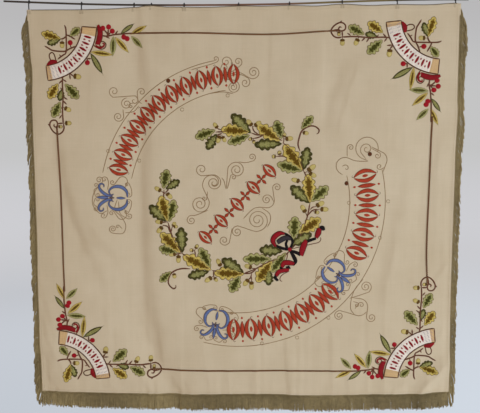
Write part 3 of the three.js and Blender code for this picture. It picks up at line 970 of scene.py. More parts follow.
# band rows, in the wreath's frame: spool, path, widths before they are widened
ribbonBands = [
    ("ribbon_red", [(151, -99), (137, -97), (121, -107), (114, -122), (123, -140)], (6, 14, 15, 13, 7)),
    ("ribbon_black", [(143, -94), (159, -102), (173, -114), (177, -128), (170, -146)], (5, 8, 9, 8, 7)),
    ("ribbon_grey", [(128, -128), (140, -119), (156, -112), (172, -116)], (12, 15, 14, 8)),
    ("ribbon_black", [(122, -136), (138, -144), (156, -149), (166, -150)], (7, 9, 9, 7)),
    ("ribbon_black", [(160, -148), (156, -132), (161, -119)], (9, 8, 6)),
    ("ribbon_black", [(170, -155), (184, -158), (204, -167)], (8, 10, 11)),
    ("ribbon_red", [(205, -170), (208, -152), (214, -134), (221, -120)], (11, 17, 18, 12)),
    ("ribbon_black", [(220, -125), (236, -119), (252, -114)], (10, 9, 8)),
    ("ribbon_red", [(252, -112), (258, -98), (263, -82)], (10, 17, 13)),
    ("ribbon_black", [(262, -79), (271, -80), (277, -88)], (9, 14, 8)),
    ("ribbon_black", [(171, -156), (181, -174), (186, -188), (178, -200)], (8, 11, 12, 9)),
    ("ribbon_red", [(182, -197), (166, -193), (150, -194), (142, -207)], (10, 15, 15, 10)),
    ("ribbon_black", [(143, -203), (141, -214)], (10, 10)),
    ("ribbon_black", [(160, -204), (166, -214)], (12, 10)),
    ("ribbon_red", [(166, -216), (150, -218), (134, -222), (124, -235)], (10, 12, 13, 11)),
    ("ribbon_black", [(125, -232), (122, -243), (130, -252)], (9, 10, 7)),
]
ribbonStems = [
    [(162, -158), (160, -174), (156, -186)], [(154, -160), (148, -180)],
    [(176, -148), (190, -144), (202, -141)],
    [(219, -137), (244, -131), (260, -127), (267, -118), (265, -110)],
    [(164, -222), (148, -230), (138, -240), (137, -250), (144, -255)],
]


def buildRibbon():
    twigs(wreathFrame, ribbonStems, width=3.2)
    for spool, points, widths in ribbonBands:
        widths = [wide * ribbonWidening for wide in widths]
        if spool == "ribbon_black":
            satinBand(spool, wreathFrame, points, widths, height=1.3, slant=0.25)
        else:
            edgedBand(spool, "ribbon_black", wreathFrame, points, widths, height=1.6, slant=0.25, line=2.0)
    dot("ribbon_red", wreathFrame, (168, -149), 7, 2.4)


# The framing border and its corners.

border = {"left": -586, "right": 587, "top": -84, "bottom": -1170}
# The same sprig is worked at each corner, turned by a quarter each time. In its own frame A runs along the
# laurel side and B along the oak side, both from the corner of the border.
corners = [
    ((-586, -84), (1, 0), (0, -1)), ((587, -84), (0, -1), (-1, 0)),
    ((587, -1170), (-1, 0), (0, 1)), ((-586, -1170), (0, 1), (1, 0)),
]
cornerLaurels = [
    ("dark", (205, 2), -35, 56, 16), ("yellow", (238, 3), -26, 58, 15), ("light", (240, 8), 47, 50, 17),
    ("yellow", (190, 11), 50, 62, 17), ("light", (185, 9), 94, 60, 19), ("yellow", (112, 56), 8, 70, 16),
    ("dark", (110, 56), 61, 80, 21),
]
cornerOaks = [
    ("yellow", (6, 153), 124, 56, 34), ("light", (28, 154), 48, 62, 36), ("dark", (19, 170), 106, 38, 24),
    ("light", (11, 210), 118, 55, 32), ("dark", (19, 16), 162, 44, 24), ("yellow", (20, 15), -163, 63, 30),
    ("light", (49, 7), -38, 40, 26),
]
cornerAcorns = [
    ((52, 129), 10, 28, 17), ((20, 227), 26, 26, 15), ((20, 277), 0, 24, 15), ((24, 19), 92, 24, 15),
    ((-2, 288), 0, 17, 11),
]
cornerBerries = [(153, -16), (171, -20), (182, -7), (217, 11), (227, 16), (101, 89), (49, 27)]
cornerTwigs = [
    [(146, 6), (165, 8), (186, 4), (205, 2), (236, 0), (282, 0)], [(156, -12), (166, 0), (166, 8)],
    [(170, -14), (168, 6)], [(178, -5), (168, 6)], [(158, 7), (173, 15)], [(190, 3), (199, -8)],
    [(101, 84), (102, 77), (114, 77)], [(49, 33), (51, 42)],
    [(22, 128), (20, 150), (20, 200), (17, 240), (18, 278)], [(20, 142), (9, 153)], [(22, 140), (33, 148)],
    [(20, 194), (34, 203)], [(19, 206), (31, 218)], [(14, 252), (6, 262)], [(44, 121), (56, 131)],
    [(44, 124), (45, 140)], [(20, 172), (12, 166)], [(33, -27), (37, -14), (37, 20), (36, 50), (32, 64)],
    [(37, 2), (50, 8), (65, 17)], [(19, 16), (30, 13), (37, 6)],
    [(-32, 36), (-20, 43), (-8, 50), (12, 53), (32, 53), (46, 46), (66, 38)], [(8, 78), (18, 70), (34, 60)],
    [(14, 63), (18, 70)],
    [(18, 278), (20, 292), (14, 305), (0, 312), (-14, 305), (-24, 290), (-25, 277), (-17, 268), (-5, 269),
     (0, 280), (-5, 289), (-12, 286), (-11, 279)], [(-31, 279), (-26, 286)], [(-5, 288), (-3, 300), (0, 312)],
    [(0, 278), (18, 277)],
]
scroll = {
    "centre": (-42, -32), "inner": 130, "outer": 176, "start": 4.5, "stop": 84.5,
    # peach at both ends, lozenges and pairs by turns from one angle to another, curls in three rows
    "peach": (9, 5), "motifs": (16, 69, 15), "curls": (73, 77, 81), "curlRows": (-13, 0, 13),
}


def satinSector(spool, place, start, stop):
    inner, outer = scroll["inner"], scroll["outer"]
    rows = int(abs(stop - start) * math.pi / 180 * (inner + outer) / 2 / (thread["half"] * 1.25))
    profile = np.array([0, 0.85, 1, 1, 0.85, 0])
    radius = inner + (outer - inner) * np.array([0, 0.05, 0.35, 0.65, 0.95, 1])
    around = onCircle(scroll["centre"], radius, np.linspace(start, stop, rows)[:, None])
    h = sunkEnds(profile, profile * 0.75 + ridges(rows) * 0.8)
    lay(spool, place, around[..., 0], around[..., 1], h, np.broadcast_to(radius, around.shape[:2]))


def buildScroll(place):
    start, stop, centre, inner, outer = (scroll[key] for key in ("start", "stop", "centre", "inner", "outer"))
    first, last = scroll["peach"]
    satinSector("scroll_peach", place, start, start + first)
    satinSector("scroll_white", place, start + first, stop - last)
    satinSector("scroll_peach", place, stop - last, stop)
    for radius in (inner, outer):
        cord("scroll_brown", place, arc(centre, radius, start, stop), width=4.8, height=1.4)
    for angle in (start, stop):
        ends = [onCircle(centre, radius, angle) for radius in (inner - 1, outer + 1)]
        cord("scroll_brown", place, ends, width=4.4, height=1.4)
    middle = (inner + outer) / 2
    for step, angle in enumerate(np.linspace(*scroll["motifs"])):
        spot = turned(place, onCircle(centre, middle, angle), angle)
        if step % 2 == 0:
            satinOval("scroll_red", turned(spot, (-15.5, 0)), 31, 9, 1.2, sharp=1.3)
        else:
            for side in (-1, 1):
                satinOval("scroll_red", turned(spot, (side * 8 - 4.5, 0)), 9, 6.5, 1.1, sharp=1.3)
    for angle in scroll["curls"]:
        for row in scroll["curlRows"]:
            x, z = onCircle(centre, middle + row, angle)
            curl = tendril([(x - 3, z - 2, 2.8, 1, 0.9), (x + 3, z + 2, 2.8, -1, 0.9)])
            cord("lilac", place, curl, width=2.0, height=1.1)
    # the turned-over ends
    flap = [(138, -26), (144, -4), (141, 16), (134, 34)]
    edgedBand("scroll_red", "scroll_brown", place, flap, (8, 17, 19, 15), height=1.3)
    roll = [(120, 33), (131, 42), (146, 48), (158, 43), (161, 32), (152, 24), (142, 28), (142, 37), (150, 40),
            (154, 34)]
    cord("scroll_brown", place, smooth(roll), width=4.0)
    satinBand("scroll_red", place, [(128, 37), (140, 43), (152, 40), (156, 32), (150, 29)], (7, 8, 7, 6, 4),
              height=1.1)
    satinBand("scroll_red", place, [(-26, 96), (-12, 88), (6, 86)], (8, 20, 12), height=1.3)
    roll = [(-12, 86), (-18, 70), (-16, 60), (-8, 57), (-2, 64), (1, 76), (3, 90)]
    cord("scroll_brown", place, smooth(roll), width=4.4)


def buildCorner(place):
    twigs(place, cornerTwigs, width=5.6, height=1.1)
    buildScroll(place)
    for leaf in cornerLaurels:
        laurelLeaf(place, *leaf)
    for leaf in cornerOaks:
        oakLeaf(place, *leaf)
    for nut in cornerAcorns:
        acorn(place, *nut)
    for at in cornerBerries:
        dot("berry_red", place, at, 8.2, 1.8)


# The two curved bands and the middle row.

bands = {
    "inner": 358, "line": 2.7, "pitch": 50.0, "depth": 96,
    # where the frieze runs, in degrees round the wreath, and the radius of the band's outer line
    "spans": [(164, 91, 454), (-92, -44, 470), (-23, 12, 470)],
    # and its lines: start, end of the inner line, end of the outer line, radius
    "lines": [(167, 95, 98, 454), (-104, 14, 13, 470)],
    # the upper band closes in a little towards its lower end
    "closing": ((91, 164), (1, 0.966)),
}


def onBand(radius, degrees):
    return onCircle((0, 0), radius, degrees) * np.interp(degrees, *bands["closing"])[..., None]


def fineLine(place, path):
    cord("tan_line", place, path, width=bands["line"], height=0.7)


def friezeBud(place, size):
    # An almond bud of two curved strokes round a lozenge. A runs across the band, B runs along it.
    for side in (-1, 1):
        path = [(-30, 1.5), (-17, 9.5), (0, 13.5), (17, 9.5), (30, 1.5)]
        path = [(a * size, b * side * size) for a, b in path]
        edgedBand("brick_red", "brick_edge", place, path, [w * size for w in (2, 9, 11.5, 9, 2)],
                  slant=0.35 * side)
        tip = [(side * 29 * size, 0), (side * 35 * size, 3 * size), (side * 33 * size, 8 * size)]
        cord("brick_edge", place, smooth(tip), width=1.7)
    satinOval("brick_red", turned(place, (-9 * size, 0)), 18 * size, 8 * size, 1.2, sharp=1.6)


def friezeBar(place, size):
    # The upright between two buds, with a small lozenge above and below it.
    path = [(a * size, 0) for a in (-24, -14, 0, 14, 24)]
    edgedBand("brick_red", "brick_edge", place, path, [w * size for w in (1.5, 10, 12, 10, 1.5)])
    for side in (-1, 1):
        satinOval("brick_red", turned(place, (side * 33 * size - 4.5, 0)), 9, 7, 1.0, sharp=1.5)


def lily(place):
    # A scrolled flower on an axis of symmetry: two pairs of curling leaves, a bud above and a drop below.
    def petal(path, widths):
        edgedBand("slate_blue", "slate_deep", place, path, widths, height=1.4, line=1.9)

    low = [(-46, 3), (-43, 22), (-25, 36), (-2, 35), (12, 22), (7, 9), (-3, 12)]
    high = [(0, 5), (18, 8), (35, 19), (44, 33), (39, 44), (29, 41), (29, 33)]
    tendrils = [
        [(-38, 34), (-30, 54, 15, -1), (2, 50, 9, 1)], [(-50, 12, 10, -1), (-58, 30), (-44, 44, 7, -1)],
        [(18, 24), (14, 46), (28, 58, 10, -1)], [(48, 8, 8, 1), (60, 22), (54, 38, 8, -1)],
    ]
    for side in (-1, 1):
        petal([(a, b * side) for a, b in low], (2, 8, 11, 10, 6, 4, 2))
        petal([(a, b * side) for a, b in high], (2, 8, 10, 9, 6, 4, 2))
        for circles in tendrils:
            fineLine(place, tendril(circles) * (1, side))
    petal([(14, 0), (30, 0), (50, 0)], (4, 12, 2))
    petal([(-12, 0), (-24, 0), (-40, 0)], (3, 9, 2))
    for quarter in range(4):
        satinOval("slate_deep", turned(turned(place, (3, 0), 45 + 90 * quarter), (0, 0), 45), 9, 5, 1.3,
                  sharp=1.5)


lilies = [((-418, -600), 177), ((-92, -1012), -100), ((300, -848), -36)]

# Fine scrolling lines, each a row of circles and points.
flourishes = [
    # outside the upper band
    [(-404, -263, 18, 1, 1.5), (-342, -292, 15, -1, 1.1)],
    [(-318, -265, 14, 1, 1.4), (-330, -292), (-318, -302)], [(-364, -283), (-366, -302, 18, 1, 1.8)],
    [(-378, -318), (-393, -342, 17, -1, 1.8)], [(-344, -300), (-353, -309, 8, 1, 1.2)],
    [(-372, -330), (-344, -326), (-328, -308)],
    # round and below the first lily
    [(-404, -606), (-413, -638), (-394, -660), (-379, -689), (-386, -714), (-404, -717),
     (-420, -701, 13, -1, 1.8)], [(-400, -612), (-396, -652), (-367, -660, 10, 1, 1.5)],
    [(-390, -702), (-405, -694, 6, 1, 1.2)],
    [(-436, -641), (-460, -650), (-482, -622), (-478, -585), (-459, -542, 12, 1, 1.6)],
    # the fan at the upper end of the band
    [(-160, -198), (-100, -182), (-82, -165, 10, 1, 1.3)],
    [(-58, -217), (-36, -196), (-50, -174, 18, 1, 1.5)], [(-57, -219), (-25, -200), (-13, -174, 14, 1, 1.4)],
    [(-57, -221), (-15, -206), (18, -222), (35, -207, 21, 1, 1.9)],
    [(-57, -223), (-12, -213), (9, -239, 17, -1, 1.5)], [(-60, -226), (-28, -252, 21, -1, 2.3)],
    [(-105, -272), (-60, -267), (-28, -273)], [(-68, -196), (-60, -180), (-54, -193, 8, -1, 1.2)],
    # top of the lower right band
    [(394, -485), (390, -446, 35, -1), (421, -458)], [(388, -480), (389, -448, 21, -1, 1.5)],
    [(403, -441), (427, -482, 26, -1), (441, -520)], [(404, -446), (423, -469, 11, -1, 1.4)],
    [(446, -506), (430, -503, 10, -1, 1.3)], [(328, -472), (339, -443, 11, -1, 1.5)],
    [(394, -487), (355, -485), (321, -501, 27, 1), (315, -529)], [(312, -502), (325, -508, 11, -1, 0.8)],
    # inside the wreath, upper left
    [(-95, -553, 36, 1, 1.0), (-138, -620, 31, -1, 2.2)],
    [(-131, -510, 20, 1, 1.5), (-93, -553, 26, -1, 2.0)],
    [(-112, -640), (-150, -656), (-166, -673, 16, 1, 1.7)], [(-113, -580), (-124, -602, 8, -1, 1.4)],
    [(-53, -572), (-20, -512, 28, -1, 2.2)], [(-50, -572), (-30, -535, 10, -1, 1.5)],
    [(-15, -486), (8, -489), (29, -471, 13, 1, 1.6)], [(-55, -572), (-60, -548), (-68, -536)],
    # inside the wreath, lower right
    [(108, -568, 14, 1, 1.6), (76, -610, 23, -1), (36, -634), (0, -668)],
    [(97, -614), (75, -607, 17, 1, 1.7)], [(45, -673, 37, -1, 2.4), (-20, -710, 19, 1, 1.8)],
    [(60, -634), (84, -652), (86, -676), (76, -696)], [(-36, -698), (-62, -738, 18, -1, 1.7)],
    # below the third lily
    [(340, -928), (392, -890, 20, 1, 2.0)], [(352, -926), (371, -957, 28, -1), (411, -991, 16, 1, 1.7)],
    [(396, -972), (371, -957, 28, -1), (307, -985, 17, 1, 1.9)],
    [(383, -865), (353, -905), (343, -958), (356, -981)], [(378, -950, 10, 1, 1.2), (358, -962)],
    [(352, -938), (363, -950, 8, -1, 1.3)],
]
beads = [(-428, -450), (-331, -482), (-190, -321), (-46, -278), (335, -618), (459, -614), (435, -731),
         (273, -992), (172, -1058), (58, -1078)]
redDots = [(-232, -231), (399, -464), (327, -556)]


def buildBands():
    for start, inside, outside, outer in bands["lines"]:
        for radius, stop in ((bands["inner"], inside), (outer, outside)):
            fineLine(wreathFrame, onBand(radius, sweepOf(radius, start, stop)))
    for start, stop, outer in bands["spans"]:
        middle, size = (bands["inner"] + outer) / 2, (outer - bands["inner"]) / bands["depth"]
        count = int(round(abs(stop - start) * math.pi / 180 * middle / bands["pitch"] / size)) + 1
        for step, angle in enumerate(np.linspace(start, stop, 2 * count - 1)):
            motif = friezeBar if step % 2 else friezeBud
            motif(turned(wreathFrame, onBand(middle, angle), angle), size)
    for at, heading in lilies:
        lily(turned(banner, at, heading))
    for circles in flourishes:
        fineLine(banner, tendril(circles))
    for at in beads:
        cord("tan_line", banner, arc(at, 5.5, 0, 350), width=1.9, height=0.7, taper=2)
    for at in redDots:
        dot("brick_edge", banner, at, 7.0, 1.2)


middleRow = {"start": (-122, -728), "stop": (84, -515), "count": 9, "size": 0.86}


def buildMiddleRow():
    start, stop = np.array(middleRow["start"], float), np.array(middleRow["stop"], float)
    heading = math.degrees(math.atan2(*(stop - start)[::-1]))
    for step in range(middleRow["count"]):
        at = start + (stop - start) * step / (middleRow["count"] - 1)
        motif = turned(banner, at, heading + 90)
        if step % 2 == 0:
            friezeBud(motif, middleRow["size"])
        else:
            for quarter in range(4):
                petal = turned(motif, (0, 0), 90 * quarter)
                edgedBand("brick_red", "brick_edge", petal, [(3, 0), (11, 0), (21, 0)], (3, 10, 1.5))
            dot("brick_edge", motif, (0, 0), 3.2, 1.5)


def threadMesh(name):
    # Everything worked with one spool, as closed fields of stitches on the face of the cloth.
    faces, parts, first = {}, [], 0
    for patch in worked[name]:
        x, z, ring = patch["x"], patch["z"], patch["ring"]
        index = first + np.arange(x.size).reshape(x.shape)
        following = np.roll(index, -1, axis=0) if ring else index[1:]
        near = index if ring else index[:-1]
        quads = np.stack([near[:, :-1], near[:, 1:], following[:, 1:], following[:, :-1]], -1).reshape(-1, 4)
        under = np.stack([near[:, 0], following[:, 0], following[:, -1], near[:, -1]], -1)
        made = [quads, under] if ring else [quads, under, index[:1, ::-1], index[-1:, :]]
        flatX, flatZ = x.ravel(), z.ravel()
        corner = quads - first
        ax, az, bx, bz = (flat[corner[:, i + 2]] - flat[corner[:, i]]
                          for i in (0, 1) for flat in (flatX, flatZ))
        if np.sum(ax * bz - az * bx) < 0:
            made = [f[:, ::-1] for f in made]
        for f in made:
            faces.setdefault(f.shape[1], []).append(f)
        height = np.broadcast_to(patch["height"], x.shape)
        parts.append((flatX, flatZ, height.ravel(), patch["uv"].reshape(-1, 2), patch["shade"].ravel()))
        first += x.size
    xs, zs, heights, uvs, shades = (np.concatenate(values) for values in zip(*parts))
    material = fibreMaterial("thread_" + name, "embroidery", spools[name])
    grouped = [np.concatenate(group) for group in faces.values()]
    return meshObject("stitches_" + name, onFace(xs, zs, heights), grouped, uvs, material, shades)


buildBands()
buildMiddleRow()
buildWreath()
buildRibbon()
for origin, along, across in corners:
    buildCorner(frameAt(origin, along, across))
stitchPieces = [threadMesh(name) for name in spools]
print("embroidery worked,", sum(triangleCount(p) for p in stitchPieces), "triangles")


# Rope border, hem stitches, fringes.

def tube(name, path, radius, sides, squeeze=1.0, along=1.0):
    # A closed tube along a path. squeeze makes it two-lobed and turns the lobes along it.
    path = np.asarray(path, float)
    tangent = np.gradient(path, axis=0)
    tangent /= np.linalg.norm(tangent, axis=1, keepdims=True)
    guide = np.array([0, 1, 0]) if abs(tangent[0][1]) < 0.9 else np.array([1, 0, 0])
    right = np.cross(tangent, guide)
    right /= np.linalg.norm(right, axis=1, keepdims=True)
    up = np.cross(right, tangent)
    around = np.linspace(0, 2 * np.pi, sides, endpoint=False)
    at = np.concatenate([[0], np.cumsum(np.linalg.norm(np.diff(path, axis=0), axis=1))])[:, None]
    swell = 1 + (squeeze - 1) * np.cos(2 * around[None] - along * at)
    ring = (right[:, None] * np.cos(around)[None, :, None] + up[:, None] * np.sin(around)[None, :, None])
    places = path[:, None] + ring * (radius[:, None] * swell)[..., None]
    index = np.arange(swell.size).reshape(swell.shape)
    nextIndex = np.roll(index, -1, axis=1)
    quads = np.stack([index[:-1], index[1:], nextIndex[1:], nextIndex[:-1]], -1).reshape(-1, 4)
    uv = np.stack([np.broadcast_to(at, swell.shape), np.broadcast_to(around / 2, swell.shape)], -1)
    piece = meshObject(name, places.reshape(-1, 3), [quads, index[:1], index[-1:, ::-1]], uv.reshape(-1, 2))
    work = bmesh.new()
    work.from_mesh(piece.data)
    bmesh.ops.recalc_face_normals(work, faces=work.faces)
    work.to_mesh(piece.data)
    work.free()
    return piece


def newTree(name, inputs):
    tree = bpy.data.node_groups.new(name, "GeometryNodeTree")
    for label, kind in {"Geometry": "Geometry", "Copied": "Object", **inputs, "Yarn": "Material"}.items():
        tree.interface.new_socket(label, in_out="INPUT", socket_type="NodeSocket" + kind)
    tree.interface.new_socket("Geometry", in_out="OUTPUT", socket_type="NodeSocketGeometry")
    return tree, tree.nodes.new("NodeGroupInput").outputs


def placeCopies(tree, given, **inputs):
    # Stands a copy of the given object on every point, as plain geometry in the given yarn.
    copied = addNode(tree, "GeometryNodeObjectInfo", {"Object": given["Copied"]}).outputs["Geometry"]
    placed = addNode(tree, "GeometryNodeInstanceOnPoints", {"Instance": copied, **inputs})
    real = addNode(tree, "GeometryNodeRealizeInstances", {0: placed.outputs[0]})
    paint = addNode(tree, "GeometryNodeSetMaterial", {"Geometry": real.outputs[0], "Material": given["Yarn"]})
    addNode(tree, "NodeGroupOutput", {0: paint.outputs[0]})
    return tree


def randomNode(tree, low, high, seed):
    return addNode(tree, "FunctionNodeRandomValue", {2: low, 3: high, "Seed": seed},
                   data_type="FLOAT").outputs[1]


def combined(tree, *values):
    return addNode(tree, "ShaderNodeCombineXYZ", dict(enumerate(values))).outputs[0]


def fringeTree():
    # Instances a strand on every point and gives each its own lean, length and turn.
    kinds = {"Sway": "Float", "Unevenness": "Float", "Spin": "Float", "Seed": "Int"}
    tree, given = newTree("strandsOnPoints", kinds)

    def spread(low, high, seedShift):
        return randomNode(tree, low, high, mathNode(tree, "ADD", given["Seed"], seedShift))

    def eitherWay(socket, seedShift):
        return spread(times(socket, -1.0), socket, seedShift)

    def attribute(name, kind):
        return addNode(tree, "GeometryNodeInputNamedAttribute", {"Name": name}, data_type=kind).outputs[0]

    sway, rough = given["Sway"], given["Unevenness"]
    lean = plus(attribute("lean", "FLOAT"), eitherWay(sway, 2))
    turn = combined(tree, eitherWay(sway, 1), lean, eitherWay(given["Spin"], 3))
    longer = spread(mathNode(tree, "SUBTRACT", 1.0, rough), mathNode(tree, "ADD", 1.0, rough), 4)
    stretch = {0: attribute("size", "FLOAT_VECTOR"), 1: combined(tree, 1.0, 1.0, longer)}
    scale = addNode(tree, "ShaderNodeVectorMath", stretch, operation="MULTIPLY").outputs[0]
    return placeCopies(tree, given, Points=given["Geometry"], Rotation=turn, Scale=scale)


def runTree(name, tree, source, settings):
    # Gives the modifier its inputs, evaluates it and keeps the result as a plain mesh.
    modifier = source.modifiers.new("grow", "NODES")
    modifier.node_group = tree
    sockets = {s.name: s.identifier for s in tree.interface.items_tree if s.in_out == "INPUT"}
    for label, value in settings.items():
        modifier[sockets[label]] = value
    bpy.context.view_layer.update()
    graph = bpy.context.evaluated_depsgraph_get()
    mesh = bpy.data.meshes.new_from_object(source.evaluated_get(graph), depsgraph=graph)
    mesh.name = name
    source.modifiers.remove(modifier)
    bpy.data.objects.remove(source)
    bpy.data.objects.remove(settings["Copied"])
    mesh.polygons.foreach_set("use_smooth", np.ones(len(mesh.polygons), bool))
    return newObject(name, mesh)


def pointsObject(name, places, lean, size):
    mesh = bpy.data.meshes.new(name)
    setPoints(mesh, places)
    fields = (("lean", "FLOAT", "value", lean), ("size", "FLOAT_VECTOR", "vector", size))
    for label, kind, field, values in fields:
        mesh.attributes.new(label, kind, "POINT").data.foreach_set(field, values.astype(np.float32).ravel())
    mesh.update()
    return newObject(name, mesh)


fringe = {
    "sides": 6, "rings": 9, "lobes": (1.16, 0.32), "dark": (104, 85, 52), "light": (172, 149, 104),
    # along the foot: its strands stand in layers, fan out at the corners and have ragged ends
    "radius": 1.45, "length": 50.0, "bend": 0.5, "wide": 1336, "pitch": 3.5, "layers": (-1.3, 0.0, 1.3),
    "above": 0.5,
    "lengths": ([-670, -422, 195, 501, 670], [47, 50, 51, 49, 50]),
    "fan": ([-672, -660, -640, 640, 656, 668], [0.24, 0.1, 0, 0, -0.1, -0.22]),
    "clump": 17, "clumpLean": 0.008, "clumpLength": 0.02, "tooth": 3.6, "ragged": 0.08,
    "footSettings": {"Sway": 0.025, "Unevenness": 0.09, "Spin": 0.7, "Seed": 5},
    # down the sides: how far a strand reaches out and hangs down, and where the first and last stand
    "sideRadius": 1.6, "sideReach": 17.5, "sideDrop": 42.0, "tall": 1240, "sidePitch": 3.4,
    "span": (0.012, 0.986), "sunk": 0.4, "rows": (-0.7, 0.6), "sideClump": 22,
    "clumpReach": 0.1, "clumpDrop": 0.06,
    "foot": ([-1250, -1205], [0.3, 0.0]), "sideSettings": {"Sway": 0.07, "Unevenness": 0.13, "Spin": 0.12},
}
# side rows: share of the cloth's width, which way is out, how far the strands reach at each height, their
# lean at the foot, and a seed
sideFringes = {
    "fringe_left": (0.0, -1, ([-28, -50, -140, -560, -703, -921, -1245], [9, 20, 17, 15, 17, 14, 19]),
                    1.0, 31),
    "fringe_right": (1.0, 1, ([-22, -45, -85, -145, -700, -1245], [8, 19, 23, 16, 14, 14]), 0.6, 32),
}


def strand(path, radius, top, tip):
    radii = radius * np.concatenate([[top], np.ones(fringe["rings"] - 2), [tip]])
    return tube("strand", path, radii, fringe["sides"], *fringe["lobes"])


def buildBottomFringe(tree, yarn):
    bend = fringe["bend"] * np.sin(np.linspace(0, 7, fringe["rings"]))
    path = np.stack([bend, 0.3 * bend, np.linspace(0, -fringe["length"], fringe["rings"])], -1)
    roots, leans, sizes = [], [], []
    count = int(fringe["wide"] / fringe["pitch"])
    for layer, y in enumerate(fringe["layers"]):
        u = (np.arange(count) + 0.2 + 0.3 * layer) / count
        edge = clothPoint(u, np.ones_like(u)) + (0, y, fringe["above"])
        x = edge[:, 0]
        length = follow(x, *fringe["lengths"]) / fringe["length"]
        clumps = unevenness(x, x * 0, fringe["clump"], 100, 21 + layer)
        ragged = 1 - fringe["ragged"] * np.abs(unevenness(x, x * 0, fringe["tooth"], 100, 51 + layer))
        roots.append(edge)
        leans.append(np.interp(x, *fringe["fan"]) + fringe["clumpLean"] * clumps)
        longer = length * ragged * (1 + fringe["clumpLength"] * clumps)
        sizes.append(np.stack([np.ones(count), np.ones(count), longer], -1))
    source = pointsObject("bottomRoots", *(np.concatenate(values) for values in (roots, leans, sizes)))
    copied = strand(path, fringe["radius"], 0.75, 0.8)
    settings = {"Copied": copied, "Yarn": yarn, **fringe["footSettings"]}
    return runTree("fringe_bottom_strands", tree, source, settings)


def buildSideFringe(name, tree, yarn, u, outward, reaches, footLean, seed):
    t = np.linspace(0, 1, fringe["rings"])
    out = outward * fringe["sideReach"] * (1 - (1 - t) ** 1.9)
    path = np.stack([out, 0.5 * np.sin(5 * t), -fringe["sideDrop"] * t ** 1.25], -1)
    count = int(fringe["tall"] / fringe["sidePitch"])
    first, share = fringe["span"]
    edge = clothPoint(np.full(count, u), first + share * np.arange(count) / (count - 1))
    edge[:, 0] -= outward * fringe["sunk"]
    edge[:, 1] += np.where(np.arange(count) % 2, *fringe["rows"])
    z = edge[:, 2]
    clumps = unevenness(z, z * 0, fringe["sideClump"], 100, seed)
    reach = follow(z, *reaches) / fringe["sideReach"] * (1 + fringe["clumpReach"] * clumps)
    size = np.stack([reach, np.ones(count), 1 + fringe["clumpDrop"] * clumps], -1)
    source = pointsObject(name + "Roots", edge, outward * np.interp(z, *fringe["foot"]) * footLean, size)
    copied = strand(path, fringe["sideRadius"], 0.7, 0.75)
    settings = {"Copied": copied, "Yarn": yarn, "Seed": seed, **fringe["sideSettings"]}
    return runTree(name, tree, source, settings)


strandTree = fringeTree()
yarn = fibreMaterial("fringe_yarn", "yarn", fringe["dark"], fringe["light"])
bottomFringe = buildBottomFringe(strandTree, yarn)
leftFringe = buildSideFringe("fringe_left_strands", strandTree, yarn, *sideFringes["fringe_left"])
rightFringe = buildSideFringe("fringe_right_strands", strandTree, yarn, *sideFringes["fringe_right"])
fringes = {"fringe_bottom": bottomFringe, "fringe_left": leftFringe, "fringe_right": rightFringe}
print("fringes hung,", [triangleCount(p) for p in fringes.values()], "triangles")


def stitchTree():
    # Lays one slanting stitch after another along a path on the cloth.
    tree, given = newTree("stitchesOnPath", {"Pitch": "Float", "Slant": "Float", "Seed": "Int"})
    curve = addNode(tree, "GeometryNodeMeshToCurve", {0: given["Geometry"]})
    path = {"Curve": curve.outputs[0], "Length": given["Pitch"]}
    points = addNode(tree, "GeometryNodeCurveToPoints", path, mode="LENGTH").outputs
    along = {"Vector": points["Tangent"]}
    align = addNode(tree, "FunctionNodeAlignRotationToVector", along, axis="X").outputs[0]
    tilt = combined(tree, 0.0, plus(given["Slant"], randomNode(tree, -0.07, 0.07, given["Seed"])))
    slant = addNode(tree, "FunctionNodeRotateRotation", {0: align, 1: tilt}, rotation_space="LOCAL")
    return placeCopies(tree, given, Points=points["Points"], Rotation=slant.outputs[0])


def pathsObject(name, paths):
    mesh = bpy.data.meshes.new(name)
    edges, first = [], 0
    for path in paths:
        edges += [(first + i, first + i + 1) for i in range(len(path) - 1)]
        first += len(path)
    mesh.from_pydata([tuple(p) for p in np.concatenate(paths) * metre], edges, [])
    return newObject(name, mesh)


def stitchLine(name, paths, length, width, pitch, slant, material, seed):
    t = np.array([-1, -0.6, 0, 0.6, 1])
    path = np.stack([t * length / 2, 0 * t, 0 * t], -1)
    stitch = tube("stitch", path, width / 2 * np.array([0.4, 0.85, 1, 0.85, 0.4]), 5)
    return runTree(name, laidStitches, pathsObject(name + "Path", paths), {
        "Copied": stitch, "Pitch": pitch * metre, "Slant": slant, "Yarn": material, "Seed": seed})


def faceLine(path, inset, height):
    # A path on the worked face with points 3 millimetres apart, moved sideways and stood off it.
    path, _ = evenly(path, 3.0)
    path = path + sideways(path) * inset
    return onFace(path[:, 0], path[:, 1], np.full(len(path), height))


def edgeLine(u, v, inset, height=0.4):
    # Along the cloth at shares of its width and height, moved in from the edge.
    return faceLine(clothPoint(*np.broadcast_arrays(np.asarray(u, float), v))[:, [0, 2]], inset, height)


laidStitches = stitchTree()
left, right, top, bottom = border["left"], border["right"], border["top"], border["bottom"]
rope = {
    "lift": 0.7, "stitch": (8.0, 4.6, 6.0, 0.5),
    # tone: colour, how many points of the path it skips, so that the two lie by turns
    "tones": {"border_rope_dark": ((80, 44, 28), 0), "border_rope_light": ((142, 100, 66), 1)},
    "paths": [
        [(-320, top), (-150, top - 1), (81, top - 8), (260, top), (303, top)],
        [(-303, bottom), (-100, bottom - 1), (100, bottom), (320, bottom)],
        [(left - 3, -376), (left, -600), (left + 2, -800), (left + 3, -904)],
        [(right + 4, -350), (right, -560), (right - 4, -760), (right, -881)],
    ],
}
ropePaths = [faceLine(smooth(points), 0.0, rope["lift"]) for points in rope["paths"]]
ropes = [stitchLine(name, [path[skip:] for path in ropePaths], *rope["stitch"],
                    fibreMaterial("thread_" + name, "cord", color), 3 + skip)
         for name, (color, skip) in rope["tones"].items()]
print("border laid,", [triangleCount(p) for p in ropes], "triangles")
